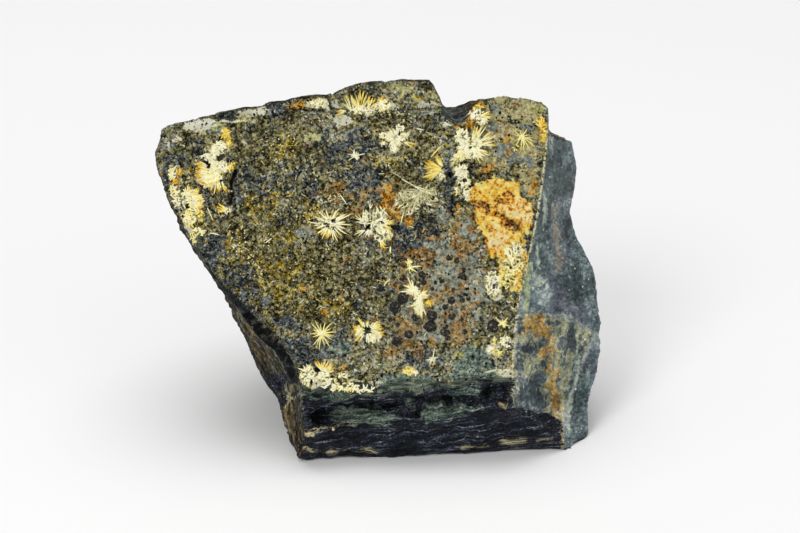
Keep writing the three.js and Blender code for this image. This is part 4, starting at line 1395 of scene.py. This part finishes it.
def build_loose_needles(ground, material):
    random.seed("loose needles")
    needles = Needles(ground)
    for root, tip, tint in LOOSE_NEEDLES:
        needles.add(np.array(root), np.array(tip), (0.1, 0.3), 0.12, (tint, tint + 0.1))
    for _ in range(SCATTERED_NEEDLES):
        root = np.array([random.uniform(-38, 20), random.uniform(OPEN_FOOT, OPEN_TOP)])
        if not on_open_face(*root):
            continue
        turn = random.uniform(0, 2 * math.pi)
        tip = root + random.uniform(0.4, 1.3) * aimed(turn)
        tint = random.choice((0.1, 0.2, 0.3, 0.4, -0.1))
        needles.add(root, tip, (0.05, 0.2), 0.07, (tint, tint))
    return needles.build("loose_needles", material)


# ---------------------------------------------------------------- nodules and loose grains

NODULE_RINGS = [(1.12, -0.5), (1.06, 0.06), (0.86, 0.26), (0.55, 0.38), (0.22, 0.42)]  # reach and height
NODULE_SIDES = 12
SMALL_NODULES = 90
NODULES_MIDDLE, NODULES_SPREAD = (6, -5), 5  # the small nodules lie about this place
NODULES_LEFT, NODULES_RIGHT, NODULES_FOOT = -8, 18, -16  # and within these bounds
GRAINS = 400
GRAIN_TINTS = (-0.2, -0.1, 0.05, 0.2, 0.3, 0.4)
GRAIN_PLACES = PATCHES["gold"] + [(-12, 6, 22, 16)] * 3  # the last patch is the whole open face


class Grit(Growth):
    """Nodules and grains."""

    def nodule(self, u, v, radius):
        """A low rough dome, closed below the surface."""
        base = self.surface_at((u, v))
        first = len(self.vertices)
        bulge = [random.uniform(0.82, 1.15) for _ in range(NODULE_SIDES)]
        for reach, height in NODULE_RINGS:
            for side, share in enumerate(bulge):
                turn = 2 * math.pi * side / NODULE_SIDES
                out = radius * reach * share
                rise = base + radius * (height + random.uniform(-0.07, 0.07))
                self.vertices.append((u + out * math.cos(turn), v + out * math.sin(turn), rise))
        self.join_rings(first, len(NODULE_RINGS), NODULE_SIDES)
        self.tints += [0.0] * (len(NODULE_RINGS) * NODULE_SIDES)

    def grain(self, u, v, size, tint):
        """A crystal with eight faces, turned at random and half sunk."""
        middle = Vector((u, v, self.surface_at((u, v))))
        pole = Vector([random.gauss(0, 1) for _ in range(3)]).normalized()
        turn = Quaternion(pole, random.uniform(0, math.pi))
        first = len(self.vertices)
        for axis in range(3):
            for sign in (1, -1):
                corner = Vector((0, 0, 0))
                corner[axis] = sign * size * random.uniform(0.7, 1.3)
                corner.rotate(turn)
                self.vertices.append((middle + corner)[:])
        for x in (0, 1):
            for y in (2, 3):
                for z in (4, 5):
                    corners = (first + x, first + y, first + z)
                    self.polygons.append(corners if (x + y + z) % 2 == 0 else corners[::-1])
        self.tints += [tint] * 6


def build_nodules(ground, material):
    random.seed("nodules")
    grit = Grit(ground)
    for u, v, radius in NODULES:
        grit.nodule(u, v, radius)
    for _ in range(SMALL_NODULES):
        u, v = (random.gauss(middle, NODULES_SPREAD) for middle in NODULES_MIDDLE)
        if v > NODULES_FOOT and NODULES_LEFT < u < NODULES_RIGHT:
            grit.nodule(u, v, random.uniform(0.12, 0.34))
    return grit.build("black_nodules", material)


def build_grains(ground, material):
    """Gold and cream grains, mostly in the golden patches."""
    random.seed("grains")
    grit = Grit(ground)
    for _ in range(GRAINS):
        u, v, reach_u, reach_v = random.choice(GRAIN_PLACES)
        u += random.gauss(0, 0.55 * reach_u)
        v += random.gauss(0, 0.55 * reach_v)
        if on_open_face(u, v):
            grit.grain(u, v, random.uniform(0.08, 0.22), random.choice(GRAIN_TINTS))
    return grit.build("gold_grains", material)


# ---------------------------------------------------------------- stage, light and camera

CAMERA_RISE = math.radians(25)
CAMERA_DISTANCE = 0.4
FOCAL_LENGTH = 100
FLOOR_SIZE = 8
LIGHTS = [  # name, place, diameter and power, in metres and watts
    ("key", (-0.45, -0.7, 0.75), 0.5, 4.2),
    ("fill", (0.8, -0.6, 0.4), 0.8, 1.4),
    ("top", (0.0, 0.25, 1.3), 1.2, 9),
]
WORLD_STRENGTH = 0.4


def add_floor():
    bpy.ops.mesh.primitive_plane_add(size=FLOOR_SIZE, location=(0, 2, 0))
    floor = bpy.context.object
    floor.name = "floor"
    s = Shader("floor")
    floor.data.materials.append(s.finish((244, 244, 244), 0.9))


def add_light(name, location, size, power):
    data = bpy.data.lights.new(name, "AREA")
    data.energy = power
    data.shape = "DISK"
    data.size = size
    lamp = add_object(name, data)
    lamp.location = location
    lamp.rotation_euler = (Vector(FACE_MIDDLE) - Vector(location)).to_track_quat("-Z", "Y").to_euler()


def add_world():
    """White light from all sides."""
    world = bpy.data.worlds.new("studio")
    world.use_nodes = True
    background = world.node_tree.nodes["Background"]
    background.inputs["Color"].default_value = (1, 1, 1, 1)
    background.inputs["Strength"].default_value = WORLD_STRENGTH
    bpy.context.scene.world = world


def add_camera():
    data = bpy.data.cameras.new("camera")
    data.lens = FOCAL_LENGTH
    data.sensor_width = 36
    data.clip_start = 0.01
    camera = add_object("camera", data)
    away = Vector((0, -math.cos(CAMERA_RISE), math.sin(CAMERA_RISE)))
    camera.location = Vector(FACE_MIDDLE) + away * CAMERA_DISTANCE
    camera.rotation_euler = (math.pi / 2 - CAMERA_RISE, 0, 0)
    bpy.context.scene.camera = camera


# ---------------------------------------------------------------- the scene

add_camera()
add_floor()
for light in LIGHTS:
    add_light(*light)
add_world()
bpy.context.scene.view_settings.view_transform = "Standard"

stone, stone_places = build_stone([decorated_face(), smooth_side(), lower_end(), weathered()])
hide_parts("rock")
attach(stone, "root")

ground = search_tree(stone_places, stone.data)
needle_materials = {
    "cream_needles": needle_material("cream_needles", 0.5),
    "gold_needles": needle_material("gold_needles", 0.4),
}
for subpart in frame["record"]["subparts"]:
    if subpart["node"] in SPRAYS:
        slot = subpart["material_slot"]
        spray = build_spray(subpart["node"], ground, needle_materials[slot])
        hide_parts(subpart["node"])
        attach(spray, "root")

for piece, slot in (
    (build_loose_needles(ground, needle_materials["cream_needles"]), "cream_needles"),
    (build_grains(ground, needle_materials["gold_needles"]), "gold_needles"),
    (build_nodules(ground, nodule_material()), "black_nodules"),
):
    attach(piece, "root")
